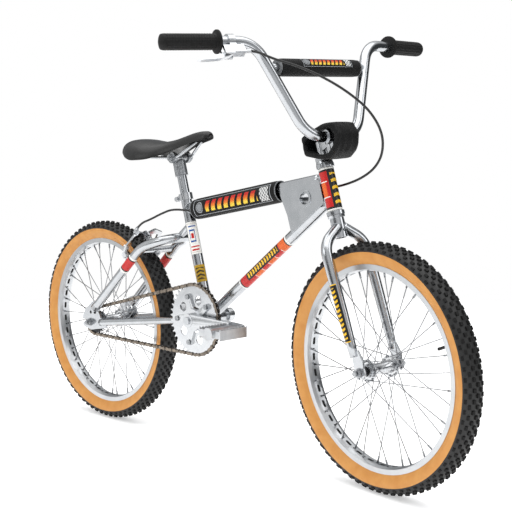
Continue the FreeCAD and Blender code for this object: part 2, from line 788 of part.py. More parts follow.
def hub(prefix, frame, flanges, ends, seats, extras):
    """A turned hub shell with two drilled flanges and a ring of balls in each end."""
    hub_frame = frame * ALONG_AXLE
    thick = "hub_flange_thick / 2"
    right, left = flanges
    right_end, left_end = ends
    right_seat, left_seat = seats
    section = [
        ("axle_radius + 2.5", "-(" + right_seat + ")"),
        ("bearing_radius", "-(" + right_seat + ")"),
        ("bearing_radius", "-(" + right_end + ")"),
        ("bearing_radius + 3", "-(" + right_end + ")"),
        ("bearing_radius + 3", "-(" + right + " + " + thick + ")"),
        ("hub_flange_radius", "-(" + right + " + " + thick + ")"),
        ("hub_flange_radius", "-(" + right + " - " + thick + ")"),
        ("hub_body_radius + 2", "-(" + right + " - " + thick + ")"),
        ("hub_body_radius", "-(" + right + " - 8)"),
        ("hub_body_radius", left + " - 8"),
        ("hub_body_radius + 2", left + " - " + thick),
        ("hub_flange_radius", left + " - " + thick),
        ("hub_flange_radius", left + " + " + thick),
        ("bearing_radius + 3", left + " + " + thick),
        ("bearing_radius + 3", left_end),
        ("bearing_radius", left_end),
        ("bearing_radius", left_seat),
        ("axle_radius + 2.5", left_seat),
    ]
    shell = turned(section)
    document.recompute()
    blank = moved(shell.Shape, ALONG_AXLE)
    offsets = (size(right), size(left))
    radius = size("hub_hole_radius")
    holes = []
    for side, flange, index, angle, step in hub_holes(offsets):
        inside = around(radius, angle, side * flange - 3)
        outside = around(radius, angle, side * flange + 3)
        holes.append(straight(inside, outside, 1.0))
    keep(group([blank.cut(holes)] + extras), prefix + "_hub", frame)
    keep(group(lacing(offsets)), prefix + "_spokes", frame)
    inner = "axle_radius + running_gap"
    pair = [
        turned(ring(inner, "bearing_radius", "-(" + right_end + " - 1)", "-(" + right_seat + ")")),
        turned(ring(inner, "bearing_radius", left_seat, left_end + " - 1")),
    ]
    keep(compound(pair), prefix + "_hub_bearings", hub_frame)


def six_sided(corner_radius, length):
    """A plain hexagonal prism standing on the XY plane."""
    corners = [Vector(corner_radius, 0, 0)]
    for index in range(6):
        turn = math.radians(60 * (index + 1))
        corners.append(Vector(corner_radius * math.cos(turn), corner_radius * math.sin(turn), 0))
    return Part.Face(Part.makePolygon(corners)).extrude(Vector(0, 0, length))


def axle(prefix, frame, width, overhang):
    """An axle with its cones inside the plates, and washers and nuts outside them.

    Under each nut the axle is necked to the thread's root, so each free end is a plain pin."""
    half = size(width + " / 2")
    plate = size("dropout_thick")
    radius = size("axle_radius")
    bore = Part.makeCylinder(radius, 20)
    thread = Part.makeCylinder(size("axle_neck_radius"), 20)
    end = half + size(overhang)
    shaft = Part.makeCylinder(radius, 2 * end, Vector(0, 0, -end), UP)
    pieces = []
    for sign in (-1, 1):
        turn = Rotation() if sign > 0 else Rotation(Vector(1, 0, 0), 180)
        cone = Part.makeCylinder(8.0, 5.6).cut(bore)
        washer = Part.makeCylinder(10.0, 1.5).cut(bore)
        nut = six_sided(8.6, 8).cut(thread)
        neck = Part.makeCylinder(radius + 1, 8.5).cut(thread)
        shaft = shaft.cut(moved(neck, Placement(Vector(0, 0, sign * (half + plate + 1.5)), turn)))
        for disc, low in ((cone, half - 5.6), (washer, half + plate), (nut, half + plate + 1.5)):
            pieces.append(moved(disc, Placement(Vector(0, 0, sign * low), turn)))
    keep(group([shaft] + pieces), prefix + "_axle", frame * ALONG_AXLE)


def wheels():
    rim_and_tyre("front", FRONT_AXLE)
    hub("front", FRONT_AXLE, ("front_flange_spread",) * 2, ("38", "38"), ("29", "29"), [])
    axle("front", FRONT_AXLE, "front_width", "axle_overhang")
    rim_and_tyre("rear", REAR_AXLE)
    core = Part.makeCylinder(17.0, 12, Vector(0, -size("chain_line") - 6, 0), ACROSS)
    core = core.cut(Part.makeCylinder(size("bearing_radius + 3"), 60, Vector(0, -80, 0), ACROSS))
    hub("rear", REAR_AXLE, ("rear_flange_right", "rear_flange_left"), ("48.5", "44"), ("38", "34"), [core])
    axle("rear", REAR_AXLE, "rear_width", "axle_overhang")


# ---------------------------------------------------------------- drive

def pitch_radius(teeth):
    return size("chain_pitch") / (2 * math.sin(math.pi / teeth))


def toothed_disc(teeth, thickness):
    """A sprocket blank in the XZ plane with a rounded tooth between each pair of rollers."""
    teeth = int(teeth)
    radius = pitch_radius(teeth)
    tip = radius + 3.6
    root = radius - 4.2
    corners = []
    for index in range(teeth):
        middle = 2 * math.pi * (index + 0.5) / teeth
        pitch_angle = 2 * math.pi / teeth
        foot = root + 0.9
        for share, reach in ((-0.5, root), (-0.26, foot), (-0.07, tip), (0.07, tip), (0.26, foot)):
            angle = middle + share * pitch_angle
            corners.append((reach * math.cos(angle), reach * math.sin(angle)))
    return slab(corners, thickness)


def chain_points():
    """Pin centres: in the ring's and the freewheel's tooth gaps, and evenly along the two runs between."""
    span = BRACKET.Base - REAR_AXLE.Base
    lean = math.degrees(math.atan2(span.z, span.x))
    big = pitch_radius(size("ring_teeth"))
    small = pitch_radius(size("wheel_teeth"))
    wrap = math.degrees(math.asin((big - small) / span.Length))
    big_step = 360 / size("ring_teeth")
    small_step = 360 / size("wheel_teeth")
    big_gaps = math.floor((180 + 2 * wrap) / big_step)
    small_gaps = math.floor((180 - 2 * wrap) / small_step)
    ring_first = lean + big_gaps * big_step / 2
    wheel_first = lean + 180 + small_gaps * small_step / 2
    on_ring = [BRACKET.Base + around(big, ring_first - index * big_step, 0) for index in range(big_gaps + 1)]
    turns = [wheel_first - index * small_step for index in range(small_gaps + 1)]
    on_wheel = [REAR_AXLE.Base + around(small, turn, 0) for turn in turns]
    points = []
    for arc, following in ((on_ring, on_wheel[0]), (on_wheel, on_ring[0])):
        run = following - arc[-1]
        links = round(run.Length / size("chain_pitch"))
        points += arc + [arc[-1] + run * (index / links) for index in range(1, links)]
    return [point - ACROSS * size("chain_line") for point in points], ring_first, wheel_first


def chain():
    """Rollers on pins, joined by plates that lie inside and outside by turns."""
    points, ring_first, wheel_first = chain_points()
    pieces = []
    for index, point in enumerate(points):
        pieces.append(Part.makeCylinder(3.8, 3.6, point - ACROSS * 1.8, ACROSS))
        following = points[(index + 1) % len(points)]
        along = following - point
        offset = 2.45 if index % 2 else 3.75
        if index == len(points) - 1 and len(points) % 2:
            offset = 5.05
        angle = math.degrees(math.atan2(along.z, along.x))
        frame = Placement(point, Rotation(ACROSS, -angle))
        plate = slab([(0, -3), (along.Length, -3), (along.Length, 3), (0, 3)], 1.1)
        ends = [Part.makeCylinder(4.2, 1.1, Vector(x, -0.55, 0), ACROSS) for x in (0, along.Length)]
        plate = plate.fuse(ends).removeSplitter()
        for y in (-offset, offset):
            pieces.append(moved(plate, frame * Placement(Vector(0, y, 0), Rotation())))
    print("chain links:", len(points))
    keep(group(pieces), "chain")
    return ring_first, wheel_first


def freewheel(wheel_first):
    """The one sprocket, on the outer shell that turns round the hub's threaded core."""
    disc = toothed_disc(size("wheel_teeth"), size("tooth_thick"))
    body = Part.makeCylinder(24, 12, Vector(0, -6, 0), ACROSS)
    disc = disc.fuse(body).cut(Part.makeCylinder(17.05, 60, Vector(0, -30, 0), ACROSS))
    frame = Placement(REAR_AXLE.Base - ACROSS * size("chain_line"), Rotation(ACROSS, -wheel_first))
    keep(shaped(disc.removeSplitter()), "freewheel_sprocket", frame)


def chainring(ring_first):
    """A stamped ring with five large windows between its bolts."""
    line = size("chain_line")
    disc = toothed_disc(size("ring_teeth"), size("tooth_thick"))
    bolts = size("bolt_circle_radius")
    lift = Rotation(ACROSS, -ring_first)
    bolt_turns = [math.radians(38 + 72 * index - ring_first) for index in range(5)]
    holes = [(bolts * math.cos(turn), bolts * math.sin(turn), 4.0) for turn in bolt_turns]
    for turn in bolt_turns:
        middle = turn + math.radians(36)
        holes.append((0.86 * bolts * math.cos(middle), 0.86 * bolts * math.sin(middle), 11.0))
    holes.append((0, 0, 30.0))
    frame = Placement(BRACKET.Base - ACROSS * line, lift)
    keep(shaped(drilled(disc, holes)), "chainring", frame)
    pieces = []
    thick = size("tooth_thick")
    for x, z, radius in holes[:5]:
        shank = Part.makeCylinder(radius - 0.1, 12, Vector(x, -7.5, z), ACROSS)
        head = Part.makeCylinder(6, 2, Vector(x, -9.0, z), ACROSS)
        nut = Part.makeCylinder(6, 2, Vector(x, thick / 2, z), ACROSS)
        pieces.append(shank.common(Part.makeBox(400, 20, 400, Vector(-200, -8, -200))).fuse([head, nut]))
    keep(group(pieces), "chainring_bolts", frame)


def crank():
    """A square-ended spindle, two arms and a five-armed spider."""
    line = size("chain_line")
    inner = size("arm_inner")
    thick = size("arm_thick")
    length = size("crank_length")
    reach = inner + thick - 1
    spindle = straight(Vector(0, -reach, 0), Vector(0, reach, 0), size("spindle_radius"))
    caps = [
        Part.makeCylinder(9, 4, Vector(0, -inner - thick - 5, 0), ACROSS),
        Part.makeCylinder(9, 4, Vector(0, inner + thick + 1, 0), ACROSS),
    ]
    keep(group([spindle] + caps), "crank_spindle", BRACKET)
    outline = [(-14, -9), (-8, -15), (10, -15), (length - 14, -11), (length + 8, -9),
               (length + 12, 0), (length + 8, 9), (length - 14, 11), (10, 15), (-8, 15), (-14, 9)]
    arm = slab(outline, thick, 3)
    boss = Part.makeCylinder(16, thick + 3, Vector(0, -thick / 2 - 1, 0), ACROSS)
    arm = arm.fuse(boss)
    arm = arm.cut(Part.makeCylinder(size("spindle_radius"), 60, Vector(0, -30, 0), ACROSS))
    arm = arm.cut(Part.makeCylinder(size("pedal_spindle_radius + 2"), 60, Vector(length, -30, 0), ACROSS))
    right = moved(arm, Placement(Vector(0, -inner - thick / 2, 0), Rotation()))
    left = moved(mirrored(right), Placement(Vector(), Rotation(ACROSS, 180)))
    spider_thick = 4.5
    spider_y = -line - size("tooth_thick / 2") - spider_thick / 2
    blades = []
    for index in range(5):
        turn = 38 + 72 * index
        bolts = size("bolt_circle_radius")
        half_blade = [(0, -11), (bolts, -7), (bolts + 6, -5)]
        other_half = [(x, -y) for x, y in reversed(half_blade)]
        blade = slab(half_blade + other_half, spider_thick)
        blade = drilled(blade, [(bolts, 0, 4.0)])
        blades.append(moved(blade, Placement(Vector(0, spider_y, 0), Rotation(ACROSS, -turn))))
    hub_disc = Part.makeCylinder(26, inner + 1 - line, Vector(0, -inner - 1, 0), ACROSS)
    spider = hub_disc.fuse(blades)
    bottom = Part.makeCylinder(200, 20, Vector(0, -line, 0), ACROSS)
    bore = Part.makeCylinder(size("spindle_radius"), 200, Vector(0, -100, 0), ACROSS)
    spider = spider.cut(bottom).cut(bore)
    keep(shaped(right.fuse(spider).removeSplitter()), "right_crank_arm", BRACKET)
    keep(shaped(left), "left_crank_arm", BRACKET)
    pins = []
    for sign in (-1, 1):
        start = Vector(-sign * length, sign * inner, 0)
        across = ACROSS * sign
        pin = straight(start, start + across * (thick + 1), size("pedal_spindle_radius + 2"))
        shaft_length = thick + size("pedal_width") - 6
        shaft = straight(start, start + across * shaft_length, size("pedal_spindle_radius"))
        flat = straight(start + across * thick, start + across * (thick + 3), 9.0)
        pins.append(pin.fuse([shaft, flat]))
    keep(group(pins), "pedal_spindles", BRACKET)


def pedal(sign):
    """A cage pedal: a barrel with a dust cap, end plates and two toothed side plates."""
    width = size("pedal_width")
    depth = size("pedal_depth")
    inner = size("arm_inner + arm_thick") + 4
    barrel = Part.makeCylinder(12, width - 8, Vector(0, inner + 2, 0), ACROSS)
    cap = Part.makeCylinder(14, 6, Vector(0, inner + width - 6, 0), ACROSS)
    ends = []
    for y in (inner, inner + width - 10):
        ends.append(Part.makeBox(depth - 3, 4, 16, Vector(-depth / 2 + 1.5, y, -8)))
    sides = []
    for side in (-1, 1):
        outline = [(inner, -12), (inner + width - 6, -12), (inner + width - 6, 12)]
        step = (width - 6) / 9
        for index in range(9):
            high = inner + width - 6 - index * step
            outline += [(high - step * 0.3, 12), (high - step * 0.45, 9.5), (high - step * 0.75, 9.5)]
        outline += [(inner, 12)]
        corners = [Vector(side * (depth / 2 - 1.25) - 1.25, y, z) for y, z in outline]
        face = Part.Face(Part.makePolygon(corners + corners[:1]))
        sides.append(face.extrude(Vector(2.5, 0, 0)))
    cage = barrel.fuse([cap] + ends + sides)
    bore = Part.makeCylinder(
        size("pedal_spindle_radius + running_gap"), width - 5, Vector(0, inner - 1, 0), ACROSS
    )
    cage = cage.cut(bore).removeSplitter()
    if sign < 0:
        cage = mirrored(cage)
    frame = BRACKET * Placement(Vector(-sign * size("crank_length"), 0, 0), Rotation())
    keep(shaped(cage), "right_pedal" if sign < 0 else "left_pedal", frame)


# ---------------------------------------------------------------- seat

def seatpost():
    top = "post_top"
    post = turned(ring("post_radius - 1.6", "post_radius", top + " - post_length", top))
    keep(post, "seatpost", SEAT)
    collar_top = size("seat_tube_length")
    band = Part.makeCylinder(16.2, 16, Vector(0, 0, collar_top - 17), UP)
    band = band.fuse(Part.makeBox(14, 18, 12, Vector(-27, -9, collar_top - 15)))
    band = band.cut(Part.makeCylinder(tube_radius, 60, Vector(0, 0, collar_top - 40), UP))
    band = band.cut(Part.makeBox(40, 2.5, 40, Vector(-40, -1.25, collar_top - 30)))
    bolt_centre = Vector(-21, 0, collar_top - 9)
    bolt = straight(bolt_centre - ACROSS * 14, bolt_centre + ACROSS * 12, 2.9)
    bolt = bolt.fuse(straight(bolt_centre - ACROSS * 14, bolt_centre - ACROSS * 9, 5.2))
    band = band.cut(bolt)
    keep(group([band, bolt]), "seat_clamp", SEAT)


def saddle_frame():
    return ROW * Placement(Vector(268, 0, 672), Rotation(ACROSS, 0))


def saddle():
    """A moulded saddle on two wire rails, held to the post by a clamp with a cross bolt."""
    sections = [
        # x from the clamp, half width, top, bottom edge
        (-141, 40, 38, 6), (-120, 62, 42, -6), (-80, 72, 41, -10), (-40, 62, 37, -6),
        (10, 34, 42, 8), (60, 24, 51, 22), (100, 19, 56, 36), (124, 10, 48, 42),
    ]
    wires = []
    for x, half, top, low in sections:
        height = top - low
        corners = [
            Vector(x, -half, low),
            Vector(x, -half * 0.94, low + height * 0.55),
            Vector(x, -half * 0.5, top - height * 0.06),
            Vector(x, half * 0.5, top - height * 0.06),
            Vector(x, half * 0.94, low + height * 0.55),
            Vector(x, half, low),
            Vector(x, half * 0.5, low + height * 0.45), Vector(x, -half * 0.5, low + height * 0.45),
        ]
        wires.append(Part.makePolygon(corners + corners[:1]))
    frame = saddle_frame()
    keep(shaped(Part.makeLoft(wires, True, True)), "saddle", frame)
    spread = size("rail_spread")
    rails = []
    for sign in (-1, 1):
        points = [
            Vector(-92, sign * 30, 5), Vector(-60, sign * spread, -4), Vector(30, sign * spread, -4),
            Vector(84, sign * 8, 33),
        ]
        rails.append(bent_bar(points, [30, 30], size("rail_radius")))
    keep(group(rails), "saddle_rails", frame)
    post_axis = Rotation(ACROSS, -(90 - size("seat_angle")))
    post_top = in_row(SEAT, 0, 0, size("post_top"))
    centre = frame.inverse().multVec(post_top)
    socket = moved(
        Part.makeCylinder(15, 34, Vector(0, 0, -30), UP).cut(
            Part.makeCylinder(size("post_radius"), 60, Vector(0, 0, -40), UP)
        ),
        Placement(centre, post_axis),
    )
    ahead = centre.x + 2
    bolt_low = Vector(ahead, 0, -4)
    cheeks = [Part.makeCylinder(13, 9, Vector(ahead, y, -4), ACROSS) for y in (-spread - 4.5, spread - 4.5)]
    bridge = Part.makeCylinder(9, 2 * spread - 9, Vector(ahead, -spread + 4.5, -4), ACROSS)
    through = straight(bolt_low - ACROSS * (spread + 14), bolt_low + ACROSS * (spread + 14), 4)
    nuts = [Part.makeCylinder(7.5, 7, Vector(ahead, y, -4), ACROSS) for y in (-spread - 11.5, spread + 4.5)]
    clamp = socket.fuse(cheeks + [bridge, through] + nuts)
    for rail in rails:
        clamp = clamp.cut(rail)
    post_bore = Part.makeCylinder(size("post_radius"), 120, Vector(0, 0, -120), UP)
    clamp = clamp.cut(moved(post_bore, Placement(centre, post_axis)))
    keep(group([max(clamp.Solids, key=lambda solid: solid.Volume)]), "saddle_clamp", frame)


# ---------------------------------------------------------------- brake

CALIPER_AXIS = Vector(-1, 0, 1).normalize()
CALIPER_ORIGIN = local(190, 0, 445) + CALIPER_AXIS * size("caliper_out")
CALIPER = Placement(CALIPER_ORIGIN, Rotation(ACROSS, -45))


def strap(path, widths, low, thickness):
    """A flat bar that follows a path in the XY plane, with its own width at each point."""
    one_edge = []
    other_edge = []
    for index, (x, y) in enumerate(path):
        before = path[max(index - 1, 0)]
        after = path[min(index + 1, len(path) - 1)]
        along = Vector(after[0] - before[0], after[1] - before[1], 0).normalize()
        normal = Vector(-along.y, along.x, 0) * (widths[index] / 2)
        one_edge.append(Vector(x, y, low) + normal)
        other_edge.append(Vector(x, y, low) - normal)
    loop = one_edge + other_edge[::-1]
    return Part.Face(Part.makePolygon(loop + loop[:1])).extrude(Vector(0, 0, thickness))


def caliper():
    """Two arms on one centre bolt; local z runs along the bolt and local x out from the wheel."""
    reach = size("caliper_reach")
    out = size("caliper_out")
    bolt = Part.makeCylinder(3.0, out + 29, Vector(0, 0, -out - 15), UP)
    nut = Part.makeCylinder(6.5, 6, Vector(0, 0, -out - 14), UP)
    spacer = Part.makeCylinder(8, out - 13, Vector(0, 0, -out + 8), UP)
    front_nut = Part.makeCylinder(6, 6, Vector(0, 0, 7), UP)
    keep(shaped(bolt.fuse([nut, spacer, front_nut])), "brake_centre_bolt", CALIPER)
    tilt = Rotation(ACROSS, -12.8)
    across_y = size("cable_side")
    extension_paths = {
        -1: [(0, 0), (10, -20), (15, across_y)],
        1: [(0, 0), (5, -20), (-8, -33), (-28, across_y), (-45, across_y - 1)],
    }
    for sign, label, low in ((-1, "right_brake_arm", -4.5), (1, "left_brake_arm", 1.5)):
        path = [(0, 0), (13, sign * 18), (4, sign * 40)]
        path += [(-28, sign * 46), (-reach + 9, sign * 38), (-reach, sign * 29)]
        arm = strap(path, [14, 14, 12.5, 11.5, 11, 11], low, 5)
        extension = extension_paths[sign]
        arm = arm.fuse([
            Part.makeCylinder(10, 5, Vector(0, 0, low), UP),
            strap(extension, [14, 12, 11, 10, 10][:len(extension)], low, 5),
        ])
        arm = arm.cut(Part.makeCylinder(3.05, 40, Vector(0, 0, -20), UP))
        middle = Vector(-reach + 2, sign * 21, low + 2.5)
        stud = straight(middle, middle + ACROSS * sign * 14, 3)
        channel = Part.makeBox(9, 3, 40, Vector(-4.5, -1.5, -20))
        channel = moved(channel, Placement(middle + ACROSS * sign * 1.5, tilt))
        block = Part.makeBox(10, 3.5, 46, Vector(-5, -1.75, -23))
        block = moved(block, Placement(middle - ACROSS * sign * 1.75, tilt))
        if sign < 0:
            lug = Part.makeBox(8, 9, 9, Vector(11, across_y - 4.5, 0))
            barrel = Part.makeCylinder(4.2, 16, Vector(8, across_y, size("cable_forward")), Vector(1, 0, 0))
            socket = Vector(17, across_y, size("cable_forward"))
            hole = Part.makeCylinder(size("cable_radius + running_gap"), 10, socket, Vector(1, 0, 0))
            wire_start = Vector(0, across_y, size("cable_forward"))
            wire_hole = Part.makeCylinder(1.4, 30, wire_start, Vector(1, 0, 0))
            arm = arm.fuse([lug, barrel]).cut(hole).cut(wire_hole)
        else:
            anchor = Part.makeCylinder(4.5, 5, Vector(-45, across_y, low + 5), UP)
            arm = arm.fuse(anchor)
            wire_end = Vector(-60, across_y, size("cable_forward"))
            arm = arm.cut(Part.makeCylinder(1.4, 30, wire_end, Vector(1, 0, 0)))
        arm = arm.fuse([stud, channel]).removeSplitter()
        keep(group([arm, block]), label, CALIPER)
    forward = size("cable_forward")
    wire = straight(Vector(-49, across_y, forward), Vector(18, across_y, forward), 0.8)
    keep(shaped(wire), "brake_inner_wire", CALIPER)


LEVER_SPREAD = -205.0


def lever():
    """A lever hung under the right grip: a clamp band and bracket, and a blade on a pivot pin."""
    low, top, end = bar_route()
    along = (other_side(end) - other_side(top)).normalize()
    share = (LEVER_SPREAD + size("bar_top_spread")) / (-size("bar_end_spread") + size("bar_top_spread"))
    centre = other_side(top) + (other_side(end) - other_side(top)) * share
    hang = Rotation(ACROSS * -1, along) * Rotation(ACROSS, -size("lever_tilt"))
    frame = FORK * Placement(centre, hang)
    band = Part.makeCylinder(15, 14, Vector(0, -7, 0), ACROSS)
    body = Part.makeBox(16, 14, 24, Vector(-6, -7, -33)).fuse(Part.makeBox(16, 30, 18, Vector(-6, -8, -33)))
    neck = Part.makeCylinder(4, 16, Vector(2, 20, -26), ACROSS)
    ears = Part.makeBox(20, 20, 20, Vector(-8, -24, -38))
    gap = Part.makeBox(8.4, 40, 60, Vector(-2.2, -44, -52))
    bracket = band.fuse([body, neck, ears]).cut(gap)
    bracket = bracket.cut(Part.makeCylinder(size("bar_radius"), 60, Vector(0, -30, 0), ACROSS))
    pin = Part.makeCylinder(2.5, 20, Vector(-8, -14, -30), Vector(1, 0, 0))
    bracket = bracket.fuse(pin).removeSplitter()
    socket = Part.makeCylinder(size("cable_radius + running_gap"), 12, Vector(2, 26, -26), ACROSS)
    bracket = bracket.cut(socket)
    keep(shaped(bracket), "brake_lever_bracket", frame)
    outline = [(-6, -36), (-20, -42), (-40, -47), (-78, -50), (-84, -46)]
    outline += [(-78, -41), (-44, -38), (-24, -33), (-20, -24), (-8, -24)]
    corners = [Vector(-1.8, y, z) for y, z in outline]
    blade = Part.Face(Part.makePolygon(corners + corners[:1])).extrude(Vector(7.6, 0, 0))
    blade = blade.cut(Part.makeCylinder(2.55, 40, Vector(-20, -14, -30), Vector(1, 0, 0)))
    blade = blade.cut(Part.makeBox(40, 60, 60, Vector(-20, -5.5, -60)))
    keep(shaped(blade), "brake_lever", frame)
    return frame


def limp_radii(points):
    """Each bend as large as its two runs allow."""
    radii = []
    for before, here, after in zip(points, points[1:], points[2:]):
        run = min((here - before).Length, (after - here).Length)
        turn = math.pi - (before - here).getAngle(after - here)
        radii.append(0.45 * run / math.tan(turn / 2))
    return radii


def brake_cable(lever_frame):
    """The outer casing, from the lever round the head tube and under the top tube to the caliper."""
    start = lever_frame.multVec(Vector(2, 30, -26))
    second = lever_frame.multVec(Vector(2, 50, -26))
    swept_part = [
        (67, -137, 253), (96, -98, 227), (120, -57, 193), (137, -22, 158), (146, 12, 120),
        (139, 40, 77), (120, 48, 40), (93, 45, 17), (58, 36, 6), (18, 27, 4), (-18, 22, 8),
    ]
    points = [start, second] + [in_row(FORK, *point) for point in swept_part]
    along = (TOP_TUBE_FRONT - TOP_TUBE_REAR).normalize()
    for travel, y, below in (
        (385, 19.5, 4), (340, 17.6, 5), (295, 17, 6.5), (250, 17, 6), (210, 14, 11), (175, 4, 17),
        (140, -9, 16), (105, -16, 9), (65, -17.5, 6), (30, -19, 9),
    ):
        points.append(TOP_TUBE_REAR + along * travel + Vector(along.z, 0, -along.x) * below + ACROSS * y)
    points += [local(*point) for point in ((288, -26, 549), (250, -32, 536), (218, -36.5, 522))]
    points.append(CALIPER.multVec(Vector(40, size("cable_side"), size("cable_forward"))))
    points.append(CALIPER.multVec(Vector(18, size("cable_side"), size("cable_forward"))))
    radii = limp_radii(points)
    print("cable bends, mm:", [round(radius) for radius in radii])
    casing = bent_bar(points, radii, size("cable_radius"))
    print("casing length, mm:", round(route(points, radii).Length))
    keep(shaped(casing), "brake_cable_casing")


def top_tube_pad():
    """A padded sleeve round the top tube, loose enough below for the cable to pass through."""
    along = (TOP_TUBE_FRONT - TOP_TUBE_REAR).normalize()
    middle = TOP_TUBE_REAR + along * (size("top_pad_length") / 2 + 32)
    sideways = ACROSS
    below = along.cross(sideways)
    below = below if below.z < 0 else below * -1
    centre = middle + below * 6
    half = size("top_pad_length / 2")
    pad = straight(centre - along * half, centre + along * half, size("top_pad_radius"))
    pad = pad.cut(straight(centre - along * half * 2, centre + along * half * 2, size("top_pad_bore")))
    keep(shaped(pad), "top_tube_pad")


# ---------------------------------------------------------------- build

head_tube()
main_tubes()
head_gusset()
rear_frame()
bottom_bracket()
headset()
fork()
solid_bar = handlebar()
grips()
stem(solid_bar)
stem_pad()
wheels()
ring_first, wheel_first = chain()
freewheel(wheel_first)
chainring(ring_first)
crank()
pedal(-1)
pedal(1)
seatpost()
saddle()
caliper()
lever_frame = lever()
brake_cable(lever_frame)
top_tube_pad()

document.recompute()
faults = []
for thing in document.Objects:
    if "Invalid" in thing.State or "Error" in thing.State:
        faults.append(thing.Label + " did not recompute")
for node in nodes:
    if node.Shape.isNull() or not node.Shape.isValid() or not node.Shape.Solids:
        faults.append(node.Label + " has no valid solid")
if faults:
    raise RuntimeError("; ".join(faults))
os.makedirs("parts", exist_ok=True)
for node in nodes:
    node.Shape.exportStep("parts/%s.step" % node.Label)
print("nodes written:", len(nodes))
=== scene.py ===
# %% [markdown]
# # A chromed twenty inch BMX bike
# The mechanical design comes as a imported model: sixty named pieces, already in place, in metres.
# This lesson gives the pieces their looks. Tubes, tyres, grips, saddle and pads are made again as
# smooth surfaces, and the machined pieces are taken over with their corners kept crisp.

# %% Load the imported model
import json
import math

import bmesh
import bpy
import numpy as np
from mathutils import Matrix, Vector

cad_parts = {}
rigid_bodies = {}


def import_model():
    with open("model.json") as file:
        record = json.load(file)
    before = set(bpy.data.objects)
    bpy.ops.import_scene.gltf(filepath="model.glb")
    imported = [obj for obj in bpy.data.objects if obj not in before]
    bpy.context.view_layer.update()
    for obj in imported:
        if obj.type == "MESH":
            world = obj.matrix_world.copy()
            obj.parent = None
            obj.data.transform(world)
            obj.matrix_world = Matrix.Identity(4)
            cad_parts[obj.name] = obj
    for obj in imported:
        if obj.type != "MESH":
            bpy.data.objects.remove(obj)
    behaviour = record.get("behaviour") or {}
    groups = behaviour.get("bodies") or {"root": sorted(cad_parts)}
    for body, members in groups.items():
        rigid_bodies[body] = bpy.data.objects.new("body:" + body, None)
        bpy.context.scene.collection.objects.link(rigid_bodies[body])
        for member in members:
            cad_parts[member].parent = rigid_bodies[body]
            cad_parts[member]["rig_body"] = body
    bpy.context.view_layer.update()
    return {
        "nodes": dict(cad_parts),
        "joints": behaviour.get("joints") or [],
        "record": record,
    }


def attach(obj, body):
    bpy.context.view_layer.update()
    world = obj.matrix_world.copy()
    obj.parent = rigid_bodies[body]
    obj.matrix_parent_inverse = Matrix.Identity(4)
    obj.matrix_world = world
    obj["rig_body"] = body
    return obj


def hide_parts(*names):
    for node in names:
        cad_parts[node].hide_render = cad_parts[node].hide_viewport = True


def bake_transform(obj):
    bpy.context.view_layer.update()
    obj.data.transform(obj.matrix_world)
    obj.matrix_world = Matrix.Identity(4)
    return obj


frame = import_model()
joints = {joint["name"]: joint for joint in frame["joints"]}
scene = bpy.context.scene
MM = 0.001
print("nodes:", len(frame["nodes"]), "joints:", len(joints))

# %% [markdown]
# The camera comes first, because everything is judged through it. It stands ahead of the bike on
# the rider's right, at handlebar height, and looks back along a line 45 degrees off the frame.
# A long lens keeps the two wheels nearly the same size.

# %% Camera
CAMERA_PLACE = Vector((1.7619, -1.6468, 0.6899))
CAMERA_AZIMUTH = math.radians(45.38)
CAMERA_ELEVATION = math.radians(6.02)
CAMERA_ROLL = math.radians(-0.228)
CAMERA_LENS = 73.99
level = math.cos(CAMERA_ELEVATION)
backwards = Vector((
    math.sin(CAMERA_AZIMUTH) * level, -math.cos(CAMERA_AZIMUTH) * level, math.sin(CAMERA_ELEVATION),
))
sideways = Vector((0, 0, 1)).cross(backwards).normalized()
upwards = backwards.cross(sideways)
turned_side = sideways * math.cos(CAMERA_ROLL) + upwards * math.sin(CAMERA_ROLL)
turned_up = upwards * math.cos(CAMERA_ROLL) - sideways * math.sin(CAMERA_ROLL)
camera = bpy.data.objects.new("camera", bpy.data.cameras.new("camera"))
scene.collection.objects.link(camera)
camera.data.lens = CAMERA_LENS
camera.data.sensor_width = 36
camera_turn = Matrix((turned_side, turned_up, backwards)).transposed().to_4x4()
camera.matrix_world = Matrix.Translation(CAMERA_PLACE) @ camera_turn
scene.camera = camera
print("camera looks along", (-backwards)[:])

# %% [markdown]
# Each part of a bike is measured in its own frame: the fork's along its steering axis, the seat's
# along the seat tube, the caliper's along its bolt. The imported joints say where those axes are,
# so a frame here is an origin and three directions read from them.

# %% Frames of reference


def axes_frame(origin, along_y, along_z):
    """A 4 by 4 matrix whose columns are x = y cross z, then y, z and the origin."""
    y = np.array(along_y, float)
    z = np.array(along_z, float)
    result = np.eye(4)
    result[:3, 0], result[:3, 1], result[:3, 2] = np.cross(y, z), y, z
    result[:3, 3] = origin
    return result


LEFT = (0, 1, 0)
SIDES = ((-1, "right"), (1, "left"))
steer = joints["steer"]
fork = axes_frame(steer["pos_m"], joints["front_wheel_spin"]["axis"], steer["axis"])
head = axes_frame(steer["pos_m"], LEFT, steer["axis"])
seat = axes_frame(joints["crank_spin"]["pos_m"], LEFT, joints["seatpost_slide"]["axis"])
caliper = axes_frame(joints["left_brake_arm_swing"]["pos_m"], LEFT, joints["left_brake_arm_swing"]["axis"])
rear_axle = axes_frame(joints["rear_wheel_spin"]["pos_m"], LEFT, (0, 0, 1))
bracket = axes_frame(joints["crank_spin"]["pos_m"], LEFT, (0, 0, 1))
front_axle = fork.copy()
front_axle[:3, 3] = joints["front_wheel_spin"]["pos_m"]


def placed(matrix, points_mm):
    """Points given in millimetres in a local frame, in metres in the bike's own."""
    points = np.asarray(points_mm, float) * MM
    return points @ matrix[:3, :3].T + matrix[:3, 3]


ground = axes_frame((rear_axle[0, 3], 0, 0), LEFT, (0, 0, 1))
print("fork axis:", fork[:3, 2], "wheel base, m:", joints["front_wheel_spin"]["pos_m"][0] - rear_axle[0, 3])

